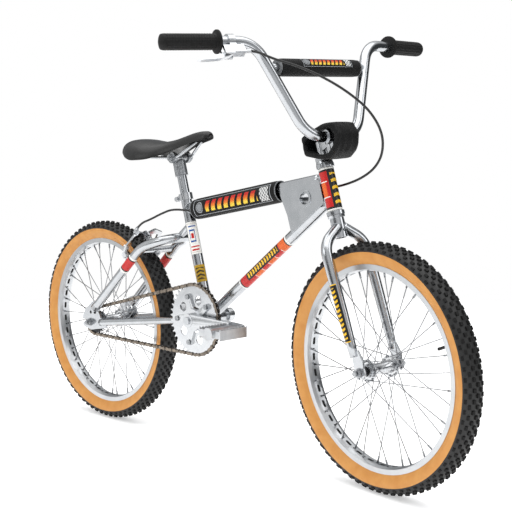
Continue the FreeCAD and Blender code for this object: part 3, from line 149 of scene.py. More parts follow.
# %% [markdown]
# Every surface below is a grid of points worked out with numpy. One function turns a grid into a
# mesh, joins the edges that meet, closes open ends, and lays a UV map along it in metres and
# round it from 0 to 1, so that decals and weaves can follow the surface.

# %% From a grid of points to a piece


def quads(rows, columns, close_rows=False):
    """Corner indices of the quads between neighbouring grid points; each row closes on itself."""
    i = np.arange(rows if close_rows else rows - 1)[:, None]
    j = np.arange(columns)[None]
    below, right = (i + 1) % rows, (j + 1) % columns
    corners = [i * columns + j, below * columns + j, below * columns + right, i * columns + right]
    return np.stack(corners, -1).reshape(-1, 4)


def piece_of(name, points, faces, smooth=True):
    """A mesh object at the origin from an array of points and a list of faces."""
    mesh = bpy.data.meshes.new(name)
    mesh.from_pydata(np.asarray(points).reshape(-1, 3).tolist(), [], [list(face) for face in faces])
    mesh.polygons.foreach_set("use_smooth", np.full(len(mesh.polygons), smooth))
    piece = bpy.data.objects.new(name, mesh)
    scene.collection.objects.link(piece)
    return piece


def face_outwards(piece):
    """Merge what coincides and point every face outwards."""
    work = bmesh.new()
    work.from_mesh(piece.data)
    bmesh.ops.remove_doubles(work, verts=work.verts, dist=1e-6)
    bmesh.ops.recalc_face_normals(work, faces=work.faces)
    work.to_mesh(piece.data)
    work.free()
    return piece


def surface(name, points, close_rows=False, lengths=None, caps=True):
    """Grid (rows, columns, 3) to a piece; UV.x is the length along the rows, UV.y goes once round."""
    rows, columns = points.shape[:2]
    faces = quads(rows, columns, close_rows)
    if lengths is None:
        lengths = np.linspace(0, 1, rows + 1)
    around = np.linspace(0, 1, columns + 1)
    i = np.arange(rows if close_rows else rows - 1)[:, None]
    i, j = np.broadcast_arrays(i, np.arange(columns)[None])
    u = np.stack([lengths[i], lengths[np.minimum(i + 1, len(lengths) - 1)]] * 2, -1)[..., [0, 1, 3, 2]]
    v = np.stack([around[j], around[j], around[j + 1], around[j + 1]], -1)
    uv = np.stack([u, v], -1).reshape(-1, 2)
    everything = faces.tolist()
    if caps and not close_rows:
        everything += [list(range(columns))[::-1], list(range((rows - 1) * columns, rows * columns))]
        ends = [[lengths[0], 0.5]] * columns + [[lengths[rows - 1], 0.5]] * columns
        uv = np.concatenate([uv, np.array(ends)])
    piece = piece_of(name, points, everything)
    layer = piece.data.uv_layers.new(name="surface")
    layer.data.foreach_set("uv", uv.ravel())
    return face_outwards(piece)


def unit(vectors):
    return vectors / np.linalg.norm(vectors, axis=-1, keepdims=True)


def rounded(points, radii, arc_steps=14, run_steps=10):
    """Straight runs joined by tangent arcs; each arc spans its corner's turn at the given radius."""
    points = np.asarray(points, float)
    path = [points[0]]
    for corner, before, after, radius in zip(points[1:-1], points[:-2], points[2:], radii):
        back, ahead = unit(before - corner), unit(after - corner)
        half_turn = (math.pi - math.acos(np.clip(back @ ahead, -1, 1))) / 2
        centre = corner + unit(back + ahead) * radius / math.cos(half_turn)
        first = corner + back * radius * math.tan(half_turn)
        path += list(path[-1] + (first - path[-1]) * np.linspace(0, 1, run_steps)[1:, None])
        outward, along = unit(first - centre), -back
        turn = np.linspace(0, 2 * half_turn, arc_steps)[1:, None]
        path += list(centre + radius * (outward * np.cos(turn) + along * np.sin(turn)))
    path += list(path[-1] + (points[-1] - path[-1]) * np.linspace(0, 1, run_steps)[1:, None])
    return np.array(path)


def travelled(path):
    """Distance along a path at each of its points."""
    return np.concatenate([[0], np.cumsum(np.linalg.norm(np.diff(path, axis=0), axis=1))])


def swept(name, path, radius, reference, sides=48, **options):
    """A round bar: at each path point a circle square to the path, begun from a reference direction."""
    along = unit(np.gradient(path, axis=0))
    across = unit(np.cross(along, np.asarray(reference, float)))
    upward = np.cross(across, along)
    turn = np.linspace(0, 2 * np.pi, sides, endpoint=False)[None, :, None]
    reach = np.broadcast_to(np.asarray(radius, float), (len(path),))[:, None, None]
    points = path[:, None] + reach * (across[:, None] * np.cos(turn) + upward[:, None] * np.sin(turn))
    return surface(name, points, lengths=travelled(path), **options)


def spun(name, profile_mm, matrix, sides=160):
    """A turned piece: (radius, offset) pairs carried round the frame's y axis."""
    radius, offset = np.asarray(profile_mm, float).T
    turn = np.linspace(0, 2 * np.pi, sides, endpoint=False)[:, None]
    offsets = np.broadcast_to(offset, (sides, len(offset)))
    grid = np.stack([radius * np.cos(turn), offsets, radius * np.sin(turn)], -1)
    return surface(name, placed(matrix, grid), close_rows=True, caps=False)


print("grid helpers ready")

# %% [markdown]
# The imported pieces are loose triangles, which is right for machined plates but shows on round
# ones. A copy with its doubles merged, shaded smooth except across real corners, keeps the exact
# shape. A slim bevel is added where a real edge would catch the light.

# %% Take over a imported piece


def settle(piece, body, slot, *nodes):
    """Put a piece on its body if it names one, in place of the nodes it replaces; the slot is not used."""
    if body:
        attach(piece, body)
    if nodes:
        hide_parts(*nodes)
    return piece


def slot_of(node):
    return next(row["material_slot"] for row in frame["record"]["subparts"] if row["node"] == node)


def refined(node, material, sharp=32, bevel=0.0, rides=True):
    """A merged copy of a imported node, flat areas made whole, smooth except over corners."""
    source = frame["nodes"][node]
    work = bmesh.new()
    work.from_mesh(source.data)
    bmesh.ops.remove_doubles(work, verts=work.verts, dist=2e-6)
    if bevel:
        bmesh.ops.dissolve_limit(work, angle_limit=math.radians(0.4), verts=work.verts, edges=work.edges)
    mesh = bpy.data.meshes.new(node + "_finished")
    work.to_mesh(mesh)
    work.free()
    mesh.polygons.foreach_set("use_smooth", np.full(len(mesh.polygons), True))
    mesh.set_sharp_from_angle(angle=math.radians(sharp))
    piece = bpy.data.objects.new(node + "_finished", mesh)
    scene.collection.objects.link(piece)
    if bevel:
        edge = piece.modifiers.new("soft edge", "BEVEL")
        edge.width = bevel * MM
        edge.segments = 2
        edge.limit_method = "ANGLE"
        edge.angle_limit = math.radians(sharp)
        edge.harden_normals = True
    mesh.materials.clear()
    mesh.materials.append(material)
    return settle(piece, source["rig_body"] if rides else None, slot_of(node), node)


# %% [markdown]
# Colours are written as sRGB hex, the way a paint chart gives them, and one function turns them
# into the linear values that a renderer mixes. A second one adds a shader node with its settings
# and links in a single line.

# %% Colour and node helpers


def colour(text):
    """sRGB hex to linear red, green, blue and full opacity."""
    values = [int(text[place : place + 2], 16) / 255 for place in (1, 3, 5)]
    linear = [value / 12.92 if value <= 0.04045 else ((value + 0.055) / 1.055) ** 2.4 for value in values]
    return (*linear, 1.0)


def add(tree, kind, inputs=None, **settings):
    """Add one shader node; inputs are values or sockets by name or number."""
    node = tree.nodes.new("ShaderNode" + kind)
    for key, value in settings.items():
        setattr(node, key, value)
    for key, value in (inputs or {}).items():
        if isinstance(value, bpy.types.NodeSocket):
            tree.links.new(value, node.inputs[key])
        else:
            node.inputs[key].default_value = value
    return node


def new_material(name, **shader_values):
    """A material with its Principled shader's own sockets set."""
    material = bpy.data.materials.new(name)
    material.use_nodes = True
    tree = material.node_tree
    shader = tree.nodes["Principled BSDF"]
    for key, value in shader_values.items():
        shader.inputs[key.replace("_", " ")].default_value = value
    return material, tree, shader


def math_node(tree, operation, *values):
    return add(tree, "Math", dict(enumerate(values)), operation=operation).outputs[0]


def times(tree, product, *others):
    """The product of two or more values."""
    for other in others:
        product = math_node(tree, "MULTIPLY", product, other)
    return product


def mixed(tree, factor, first, second):
    """Colour first where the factor is 0, second where it is 1."""
    return add(tree, "Mix", {0: factor, 6: first, 7: second}, data_type="RGBA").outputs[2]


def ramp(tree, factor, stops, constant=False):
    """A colour ramp from (place, hex) pairs."""
    node = add(tree, "ValToRGB", {0: factor})
    node.color_ramp.interpolation = "CONSTANT" if constant else "LINEAR"
    while len(node.color_ramp.elements) < len(stops):
        node.color_ramp.elements.new(1.0)
    for element, (place, text) in zip(node.color_ramp.elements, stops):
        element.position = place
        element.color = colour(text)
    return node.outputs[0]


def near(tree, value, middle, half):
    """1 where the value is within half of the middle, else 0."""
    return math_node(tree, "COMPARE", value, middle, half)


def between(tree, value, low_mm, high_mm):
    """1 from one length to another, else 0."""
    return near(tree, value, (low_mm + high_mm) / 2 * MM, (high_mm - low_mm) / 2 * MM)


def away(tree, around, middle):
    """How far round, in turns, a place is from a middle, the short way."""
    shifted = math_node(tree, "FRACT", math_node(tree, "ADD", around, 1.5 - middle))
    return math_node(tree, "ABSOLUTE", math_node(tree, "SUBTRACT", shifted, 0.5))


def object_noise(tree, scale, detail=3.0):
    place = add(tree, "TexCoord").outputs["Object"]
    return add(tree, "TexNoise", {"Vector": place, "Scale": scale, "Detail": detail}).outputs[0]


def bumped(tree, shader, height, strength, distance):
    """Feed a height pattern to the shader's normal, with the depth it stands for in metres."""
    node = add(tree, "Bump", {"Height": height, "Strength": strength, "Distance": distance})
    tree.links.new(node.outputs[0], shader.inputs["Normal"])
    return node


print("middle grey, linear:", [round(value, 3) for value in colour("#808080")])


# %% [markdown]
# Chrome plate is a mirror with a faint blue cast. What gives it away as real is its wear: a haze
# of fine wiping marks and slightly duller patches. The noise scales below are waves per metre, so
# 60 is a patch about 16 mm across. Each metal's comment says what its finish gives the eye.

# %% Chrome, steel and aluminium


def metal(name, tint, dark, rough, rough_span, patch=60.0, grain=900.0, bump=0.02):
    """A bare metal: colour drifts between two tints and roughness between two values, over patches."""
    material, tree, shader = new_material(name, Metallic=1.0)
    patches = object_noise(tree, patch)
    tree.links.new(ramp(tree, patches, [(0.3, dark), (0.65, tint)]), shader.inputs["Base Color"])
    fine = object_noise(tree, grain, 2.0)
    blend = math_node(tree, "MULTIPLY_ADD", patches, 0.7, math_node(tree, "MULTIPLY", fine, 0.3))
    roughness = add(tree, "MapRange", {0: blend, 1: 0.3, 2: 0.7, 3: rough, 4: rough + rough_span})
    tree.links.new(roughness.outputs[0], shader.inputs["Roughness"])
    bumped(tree, shader, fine, bump, 0.0001)
    return material


CHROME_LIGHT, CHROME_DARK = "#bfc1c4", "#b5b8bb"
# Plated over polished tube: a near mirror with a slight haze.
chrome = metal("satin chrome plate", CHROME_LIGHT, CHROME_DARK, 0.15, 0.06, 40.0, 2200.0, 0.004)
# The same plate over an unpolished bead: broken highlights.
crown_chrome = metal("chrome over weld", "#b9bcbf", "#a6aaae", 0.22, 0.10, 300.0, 1500.0, 0.1)
# Thin zinc on turned steel: grey, spotted and softer.
zinc = metal("zinc plated steel", "#b0b2b4", "#7f8286", 0.28, 0.16, 200.0, 2500.0, 0.1)
# Buffed and bare aluminium: whiter than chrome and less sharp.
polished_alloy = metal("polished aluminium", "#cbcdcf", "#c0c2c5", 0.17, 0.08, 50.0, 2200.0, 0.01)
satin_alloy = metal("satin aluminium", "#c9cbcd", "#b8babd", 0.27, 0.10, 80.0, 2200.0, 0.05)
# Drawn wire: bright along its length.
stainless = metal("stainless spoke wire", "#9b9da0", "#828487", 0.24, 0.08, 200.0, 3000.0, 0.01)
# Brushed round the hoop: a broad, soft highlight.
rim_alloy = metal("brushed rim aluminium", "#c6c8ca", "#babdc0", 0.27, 0.08, 30.0, 1800.0, 0.006)
# Oil and dust over steel: brown in the gaps, partly grime and partly painted shade, brighter where parts
# rub.
oiled_chain_steel_with_shade = metal("oiled chain steel", "#5d5148", "#2f2925", 0.32, 0.2, 350.0, 2500.0, 0.1)
dark_steel = metal("black oxide steel", "#4a4b4d", "#2d2e30", 0.35, 0.2, 300.0, 2500.0, 0.1)
print("metals:", [material.name for material in bpy.data.materials])

# %% [markdown]
# The frame wears vinyl stickers under clear film. A sticker is not metal, so where one lies the
# metal value drops to nothing and the colour is ink. The bands here are plain racing stripes,
# laid along the tube's own UV map, whose first coordinate is metres along the tube.

# %% Chrome tube with stickers
RED, ORANGE, YELLOW, BLACK, WHITE, BLUE = "#c51f1c", "#e2641d", "#f1be22", "#131313", "#f2f1ec", "#24549b"
OCHRE, UMBER, PEARL = "#b8921d", "#3a2f0c", "#d9d5cf"
STROKE_LEAN = 30 * MM  # how far a stroke shifts along the tube in one turn round it
UNBROKEN = 400  # a pitch longer than any sticker, so that its one stroke has no gap


def solid(low, high, middle, half, ink):
    """A mark without gaps, in the form that stickered() reads."""
    return low, high, UNBROKEN, 1.0, middle, half, ink


def stickered(name, bands, marks=(), middle_turn=0.5, half_turn=0.5):
    """Chrome with ink over it, from bands and marks.

    A band is (from, to, ink), in mm along the tube. A mark is (from, to, pitch, share, middle, half,
    ink): strokes that fill their share of a pitch, within half of the middle, both in turns.
    """
    material, tree, shader = new_material(name, Metallic=1.0, Roughness=0.1)
    place = add(tree, "UVMap", uv_map="surface").outputs[0]
    split = add(tree, "SeparateXYZ", {0: place})
    along, around = split.outputs[0], split.outputs[1]
    patches = object_noise(tree, 60.0)
    ink = ramp(tree, patches, [(0.3, CHROME_DARK), (0.65, CHROME_LIGHT)])
    cover = None
    wide = math_node(tree, "LESS_THAN", away(tree, around, middle_turn), half_turn)
    for low, high, text in bands:
        here = times(tree, between(tree, along, low, high), wide)
        ink = mixed(tree, here, ink, colour(text))
        cover = here if cover is None else math_node(tree, "MAXIMUM", cover, here)
    for low, high, pitch, share, middle, half, text in marks:
        offset = away(tree, around, middle)
        slanted = math_node(tree, "MULTIPLY_ADD", offset, STROKE_LEAN, along)
        phase = math_node(tree, "FRACT", math_node(tree, "DIVIDE", slanted, pitch * MM))
        stroke = math_node(tree, "LESS_THAN", phase, share)
        width = math_node(tree, "LESS_THAN", offset, half)
        here = times(tree, between(tree, along, low, high), stroke, width)
        ink = mixed(tree, here, ink, colour(text))
    tree.links.new(ink, shader.inputs["Base Color"])
    tree.links.new(math_node(tree, "SUBTRACT", 1.0, cover), shader.inputs["Metallic"])
    rough = math_node(tree, "MULTIPLY_ADD", cover, 0.12, math_node(tree, "MULTIPLY_ADD", patches, 0.1, 0.15))
    tree.links.new(rough, shader.inputs["Roughness"])
    bumped(tree, shader, cover, 0.3, 0.00015)
    return material


print("inks:", RED, ORANGE, YELLOW, BLACK, WHITE, BLUE)


# %% [markdown]
# The frame is brazed chromoly tube. Each tube is a circle carried along its centre line, and each
# joint has a weld bead: a thin rippled ring along the curve where one tube's wall meets another.

# %% Frame tubes
TUBE = 12.7
top_rear = placed(seat, (0, 0, 259))
top_front = placed(head, (0, 0, 24))
down_front = placed(head, (0, 0, -18))
down_rear = bracket[:3, 3]


def line(start, end, steps=30):
    return start + (end - start) * np.linspace(0, 1, steps)[:, None]


def painted(piece, material):
    piece.data.materials.clear()
    piece.data.materials.append(material)
    return piece


def tube(name, start, end, radius, material, trim=(0.0, 0.0), reference=(0, 1, 0)):
    """A straight tube between two axis points, each end drawn back by a trim in millimetres."""
    along = unit(end - start)
    path = line(start + along * trim[0] * MM, end - along * trim[1] * MM)
    return painted(swept(name, path, radius * MM, reference, 64), material)


head_bands = [(0, 4, WHITE), (4, 8, BLACK), (8, 82, RED), (82, 86, BLACK), (86, 90, WHITE)]
head_marks = [
    solid(8, 82, 0.5, 0.14, BLACK),
    (12, 78, 15, 0.42, 0.5, 0.09, YELLOW),
    solid(30, 60, 0.78, 0.07, ORANGE),
    solid(28, 30, 0.78, 0.11, WHITE),
    solid(60, 62, 0.78, 0.11, WHITE),
    solid(30, 60, 0.22, 0.07, ORANGE),
]
head_label = stickered("head tube sticker", head_bands, head_marks)
head_tube = tube("head_tube_shell", placed(head, (0, 0, -45)), placed(head, (0, 0, 45)), 16.0, head_label)
settle(head_tube, "frame", "chrome", "head_tube")

first = 128.0  # mm from the bracket to the sticker's lower edge
down_steps = [
    (0, 4, WHITE), (4, 7, BLACK), (7, 150, RED), (150, 171, ORANGE), (171, 174, BLACK), (174, 178, WHITE),
]
down_bands = [(first + low, first + high, ink) for low, high, ink in down_steps]
down_marks = [solid(first + low, first + low + 24, 0.5, 0.14, ORANGE) for low in (52, 101)]
down_marks += [solid(first + low, first + low + 1.5, 0.5, 0.14, WHITE) for low in (51, 76, 100, 125, 150)]
for middle in (0.24, 0.76):
    down_marks.append(solid(first + 28, first + 148, middle, 0.125, BLACK))
    down_marks.append((first + 33, first + 143, 9, 0.55, middle, 0.075, YELLOW))
down_label = stickered("down tube sticker", down_bands, down_marks)
down_tube = tube("down_tube_shell", down_rear, down_front, TUBE, down_label, (18, 14))
settle(down_tube, "frame", "chrome", "down_tube")

seat_bands = [(132, 208, WHITE), (66, 106, OCHRE)]
seat_marks = [
    solid(135, 205, 0.62, 0.175, PEARL), solid(137, 203, 0.62, 0.165, WHITE),
    solid(140, 144, 0.62, 0.12, RED), solid(148, 151, 0.62, 0.14, RED),
    solid(160, 190, 0.64, 0.085, BLUE), solid(164, 186, 0.64, 0.065, WHITE),
    solid(169, 181, 0.64, 0.04, RED), solid(196, 199, 0.62, 0.12, BLUE),
    (72, 100, 9, 0.5, 0.62, 0.13, UMBER),
]
seat_label = stickered("seat tube sticker", seat_bands, seat_marks, 0.62, 0.19)
seat_tube = tube("seat_tube_shell", seat[:3, 3], placed(seat, (0, 0, 295.5)), TUBE, seat_label, (18, 0))
settle(seat_tube, "frame", "chrome", "seat_tube")
top_tube = tube("top_tube_shell", top_rear, top_front, TUBE, chrome, (9, 13))
settle(top_tube, "frame", "chrome", "top_tube")
print("down tube length, mm:", round(np.linalg.norm(down_front - down_rear) / MM, 1))

# %% [markdown]
# The tail of this frame is one tube bent into a loop. It runs up from one dropout, over the wheel
# and back down to the other, so the two seat stays are a single piece. Its red bands have a white
# and a black ring at each end.

# %% Looped tail, chain stays and bridges
loop_half = [(22, 61, 291), (205, 56, 456), (283, 38, 480)]
loop_corners = placed(ground, [(x, -y, z) for x, y, z in loop_half] + loop_half[::-1])
loop_path = rounded(loop_corners, np.array([90, 44, 44, 90]) * MM)
loop_length = travelled(loop_path)[-1] / MM
LABEL_START, LABEL_LENGTH = 158.0, 52
loop_bands = []
for start in (LABEL_START, loop_length - LABEL_START - LABEL_LENGTH):
    loop_bands += [(start, start + 5, WHITE), (start + 5, start + 9, BLACK), (start + 9, start + 43, RED)]
    loop_bands += [(start + 43, start + 47, BLACK), (start + 47, start + LABEL_LENGTH, WHITE)]
loop_label = stickered("tail loop sticker", loop_bands)
loop = painted(swept("tail_loop_shell", loop_path, 11 * MM, (0.66, 0, -0.75), 56), loop_label)
settle(loop, "frame", "chrome", "seat_stay_loop")

for side, name in SIDES:
    start, end = placed(ground, (36, side * 57.5, 256)), placed(bracket, (-7, side * 24, -3))
    stay = tube("chain_stay_" + name, start, end, 9.0, chrome, (4, 14), (0, 0, 1))
    settle(stay, "frame", "chrome", *(["chain_stays"] if side < 0 else []))
post_top, post_foot = placed(seat, (0, 0, 222)), placed(ground, (281, 0, 482))
post_bridge = tube("tail_post", post_top, post_foot, 8.0, chrome, (10, 8))
settle(post_bridge, "frame", "chrome", "stay_bridges")
bridge_ends = placed(ground, [(190, -47, 445), (190, 47, 445)])
settle(tube("brake_bridge", *bridge_ends, 8.0, chrome, reference=(0, 0, 1)), "frame", "chrome")
print("tail loop length, mm:", round(loop_length, 1))

# %% [markdown]
# A weld bead could be a bevel on a union, but the union would fuse two tubes. Here each bead is a
# ring of its own, laid where the tube's wall lines pierce the other tube, with a ripple of thirty
# coins to a turn as a torch leaves.

# %% Weld beads
BEAD_RIPPLES = 30


def weld(name, start, direction, radius, base, base_direction, base_radius, body="frame", bead=1.7):
    """Where a tube's wall lines meet a cylinder: solve |p - base axis| = base radius on each line."""
    direction, base_direction = unit(np.asarray(direction)), unit(np.asarray(base_direction))
    first_side = unit(np.cross(direction, base_direction))
    second_side = np.cross(direction, first_side)
    turn = np.linspace(0, 2 * np.pi, 120, endpoint=False)[:, None]
    origin = start + radius * MM * (np.cos(turn) * first_side + np.sin(turn) * second_side) - base
    a = direction - (direction @ base_direction) * base_direction
    b = origin - (origin @ base_direction)[:, None] * base_direction
    quadratic, linear, constant = a @ a, 2 * b @ a, (b * b).sum(1) - (base_radius * MM) ** 2
    root = (-linear - np.sqrt(np.maximum(linear**2 - 4 * quadratic * constant, 0))) / (2 * quadratic)
    ring = origin + base + root[:, None] * direction
    along = unit(np.roll(ring, -1, 0) - np.roll(ring, 1, 0))
    outward = unit(ring - (start + ((ring - start) @ direction)[:, None] * direction))
    upward = np.cross(along, outward)
    phase = np.linspace(0, 2 * np.pi, 10, endpoint=False)[None, :, None]
    size = bead * MM * (1 + 0.13 * np.sin(turn[:, :, None] * BEAD_RIPPLES))
    grid = ring[:, None] + size * (outward[:, None] * np.cos(phase) + upward[:, None] * np.sin(phase))
    piece = painted(surface(name, grid, close_rows=True, caps=False), crown_chrome)
    return settle(piece, body, "chrome")


HEAD_RADIUS, SHELL_RADIUS = 16.0, 20.5
head_axis, seat_axis = head[:3, 2], seat[:3, 2]
for name, start, end, base, base_axis, base_radius in (
    ("weld_top_head", top_rear, top_front, head, head_axis, HEAD_RADIUS),
    ("weld_down_head", down_rear, down_front, head, head_axis, HEAD_RADIUS),
    ("weld_top_seat", top_front, top_rear, seat, seat_axis, TUBE),
    ("weld_down_shell", down_front, down_rear, bracket, bracket[:3, 1], SHELL_RADIUS),
    ("weld_seat_shell", placed(seat, (0, 0, 290)), seat[:3, 3], bracket, bracket[:3, 1], SHELL_RADIUS),
):
    weld(name, start, end - start, TUBE, base[:3, 3], base_axis, base_radius)
weld("weld_post_seat", post_foot, post_top - post_foot, 8.0, seat[:3, 3], seat_axis, TUBE, bead=1.2)
print("beads on the frame: 6")

# %% [markdown]
# Fork legs start inside the crown column, sweep out over the tyre and run straight to the
# dropouts. The black stickers on their outer sides carry a row of gold strokes.

# %% Fork legs
leg_bands = [(138, 140, YELLOW), (140, 254, BLACK), (254, 256, YELLOW)]
for side, name in SIDES:
    corners = placed(fork, [(4, side * 6, -79), (8, side * 56, -112), (22, side * 54, -342)])
    path = rounded(corners, [48 * MM])
    taper = np.interp(travelled(path) / MM, [0, 200, 262, 280], [11.1, 11.1, 9.6, 8.6]) * MM
    outer_side = 0.0 if side < 0 else 0.5
    marks = [(145, 249, 9.5, 0.5, outer_side, 0.085, YELLOW)]
    label = stickered(name + " leg sticker", leg_bands, marks, outer_side, 0.157)
    leg = painted(swept(name + "_fork_leg", path, taper, fork[:3, 0], 56), label)
    settle(leg, "fork", "chrome", *(["fork_legs"] if side < 0 else []))
    print(name, "leg, mm:", round(travelled(path)[-1] / MM, 1))

# %% [markdown]
# The fork ends are stamped plates, open downwards for the axle. An outline filled at both faces
# and joined round the rim keeps their corners exact, and a narrow bevel takes off the edge.

# %% Fork ends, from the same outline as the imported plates
END_OUTLINE = [
    (-10, 40), (8, 44), (16, 20), (13, 6), (14, -8), (5.5, -14), (5, 0), (3.5, 3.5),
    (0, 5), (-3.5, 3.5), (-5, 0), (-5.5, -14), (-8, -12), (-13, 0), (-12, 20),
]


def plate(name, outline_mm, y_mm, thick_mm, matrix, material):
    """A flat plate from its outline: two faces and a rim, with a bevelled edge."""
    outline = np.array(outline_mm, float)
    count = len(outline)
    low = np.stack([outline[:, 0], np.full(count, y_mm - thick_mm / 2), outline[:, 1]], -1)
    high = low + [0, thick_mm, 0]
    faces = quads(2, count).tolist() + [list(range(count)), list(range(count, 2 * count))[::-1]]
    piece = face_outwards(piece_of(name, placed(matrix, np.concatenate([low, high])), faces, False))
    edge = piece.modifiers.new("soft edge", "BEVEL")
    edge.width, edge.segments, edge.limit_method = 0.7 * MM, 2, "ANGLE"
    return painted(piece, material)


for side, name in SIDES:
    settle(plate(name + "_fork_end", END_OUTLINE, side * 52.5, 5.0, front_axle, chrome), "fork", "chrome")
print("fork end outline points:", len(END_OUTLINE))

# %% [markdown]
# The handlebar is one tube with four bends, a welded crossbar and a chrome finish. The crossbar's
# ends are covered by weld beads too.

# %% Handlebar
BAR = 11.1
BAR_END, BAR_TOP, BAR_FOOT = np.array([(8, 346, 304.4), (41, 153, 297), (41, 66, 100)])
RIGHT_SIDE = [1, -1, 1]
half_bar = [BAR_END, BAR_TOP, BAR_FOOT]
bar_corners = [point * RIGHT_SIDE for point in half_bar] + half_bar[::-1]
bar_path = rounded(placed(fork, bar_corners), np.array([58, 62, 62, 58]) * MM, 20)
handlebar = painted(swept("handlebar_shell", bar_path, BAR * MM, fork[:3, 0], 56), chrome)
settle(handlebar, "fork", "chrome", "handlebar")
crossbar_ends = placed(fork, [(41, -128, 245), (41, 128, 245)])
crossbar = tube("crossbar_shell", *crossbar_ends, 8.0, chrome, reference=fork[:3, 0])
settle(crossbar, "fork", "chrome", "crossbar")
for side, name in SIDES:
    foot, top = placed(fork, [BAR_FOOT * [1, side, 1], BAR_TOP * [1, side, 1]])
    start, direction = placed(fork, (41, 0, 245)), side * fork[:3, 1]
    weld("weld_crossbar_" + name, start, direction, 8.0, foot, top - foot, BAR, "fork", 1.3)
print("handlebar tube length, mm:", round(travelled(bar_path)[-1] / MM))

# %% [markdown]
# The grips are moulded rubber: a round flange, then rows of small square lands that give the palm
# something to hold, and a rounded closed end. The lands are a product of two smooth square waves,
# one along the grip every 5.5 mm and one round it, 18 to a turn.

# %% Grips


def rubber(name, base, worn, rough=0.62):
    material, tree, shader = new_material(name, Roughness=rough, IOR=1.5, Specular_IOR_Level=0.3)
    patches = object_noise(tree, 140.0, 5.0)
    tree.links.new(ramp(tree, patches, [(0.35, base), (0.72, worn)]), shader.inputs["Base Color"])
    bumped(tree, shader, object_noise(tree, 2600.0, 2.0), 0.25, 0.0002)
    return material


grip_rubber = rubber("moulded grip rubber", "#060606", "#101010")
GRIP_LENGTH = 118
FLANGE = [0, 0.6, 3.4, 4.0]
LAND_PITCH, LANDS_ROUND = 5.5, 18


def land(values, period, edge=0.16):
    """A smooth square wave between 0 and 1 with the given period."""
    return np.clip(0.5 + np.cos(2 * np.pi * values / period) / (2 * edge) * 0.5, 0, 1)


def grip(name, side):
    """Radius = base outline + lands where both square waves are high + a thin ring at each end."""
    closed_end = GRIP_LENGTH + 4 * np.sin(np.linspace(0, 1, 8) * np.pi / 2)
    along_mm = np.concatenate([FLANGE, np.linspace(5, 116, 180), closed_end])
    turn = np.linspace(0, 2 * np.pi, 180, endpoint=False)
    outline = [22.4, 23.3, 23.3, 22.4, 15.0, 15.0, 14.9, 6.0]
    base = np.interp(along_mm, FLANGE + [7.5, 116, 118, 122], outline)
    ridged = ((along_mm > 9) & (along_mm < 112))[:, None]
    lands = land(along_mm[:, None], LAND_PITCH) * land(turn[None], 2 * np.pi / LANDS_ROUND, 0.3)
    rings = sum(np.exp(-((along_mm[:, None] - middle) / 1.2) ** 2) for middle in (114, 8))
    radius = base[:, None] + 1.0 * lands * ridged + 0.8 * rings
    end, top = BAR_END * [1, side, 1], BAR_TOP * [1, side, 1]
    out = unit(end - top)
    first_side = unit(np.cross(out, [1.0, 0, 0]))
    second_side = np.cross(out, first_side)
    centre = end + out * (along_mm[:, None] - GRIP_LENGTH)
    circle = np.cos(turn)[None, :, None] * first_side + np.sin(turn)[None, :, None] * second_side
    points = placed(fork, centre[:, None] + radius[:, :, None] * circle)
    return painted(surface(name, points, lengths=along_mm * MM), grip_rubber)


settle(grip("right_grip_rubber", -1), "fork", "rubber", "grips")
settle(grip("left_grip_rubber", 1), "fork", "rubber")
print("lands on a grip:", int(103 / LAND_PITCH) * LANDS_ROUND)

# %% [markdown]
# The tyre is a hollow casing with gum sidewalls and a black tread of separate blocks. Its outline
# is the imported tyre's own, rounded; the blocks are one small bevelled block copied round the
# tread in staggered rows, each tilted to stand square on the casing.

# %% Tyres
CASING_POINTS, CROWN_POINT = 46, 11  # points in the casing's outline, and the one at its crown
TREAD_REACH = 5.1  # how many of them the black reaches, each way
gum, gum_tree, gum_shader = new_material("gum rubber casing with black tread", Roughness=0.55, IOR=1.52)
casing_uv = add(gum_tree, "UVMap", uv_map="surface").outputs[0]
casing_v = add(gum_tree, "SeparateXYZ", {0: casing_uv}).outputs[1]
crown_v = CROWN_POINT / CASING_POINTS
from_crown = math_node(gum_tree, "ABSOLUTE", math_node(gum_tree, "SUBTRACT", casing_v, crown_v))
gum_tone = ramp(gum_tree, object_noise(gum_tree, 45.0, 4.0), [(0.3, "#c7863c"), (0.7, "#d2954b")])
gum_edge = math_node(gum_tree, "LESS_THAN", from_crown, TREAD_REACH / CASING_POINTS)
gum_tree.links.new(mixed(gum_tree, gum_edge, gum_tone, colour("#141414")), gum_shader.inputs["Base Color"])
thread_inputs = {"Vector": casing_uv, "Scale": 220.0, "Distortion": 0.0}
casing_threads = add(gum_tree, "TexWave", thread_inputs, bands_direction="DIAGONAL")
bumped(gum_tree, gum_shader, casing_threads.outputs[0], 0.08, 0.0002)
tread_rubber = rubber("black tread rubber", "#050505", "#0e0d0d", 0.66)

TYRE_PROFILE = [
    (202.5, 13.4), (209.5, 14.6), (213, 17.0), (217.5, 20.6), (223, 23.4), (229, 24.6), (235, 24.4),
    (240, 22.6), (244.5, 18.6), (247.6, 13.4), (249.3, 7.2), (249.8, 0),
]
CASING_WALL, BEAD_WALL = 2.6, 3.0
BLOCKS_ROUND = 76
BLOCK_SINK = 0.8
BLOCK = np.array([(x, y, z) for z in (0, 1) for y in (-1, 1) for x in (-1, 1)], float)
BLOCK_FACES = np.array([(0, 2, 3, 1), (4, 5, 7, 6), (0, 1, 5, 4), (2, 6, 7, 3), (0, 4, 6, 2), (1, 3, 7, 5)])
TREAD_ROWS = [
    # offset from the mid plane, seat radius, tilt, phase, half length, half width, height
    (0.0, 249.0, 0, 0.0, 4.3, 3.5, 4.9),
    (8.6, 248.4, 15, 0.5, 4.3, 3.2, 4.9),
    (16.0, 245.4, 38, 0.0, 4.5, 3.0, 4.4),
    (21.8, 239.6, 60, 0.5, 4.6, 3.0, 3.2),
]


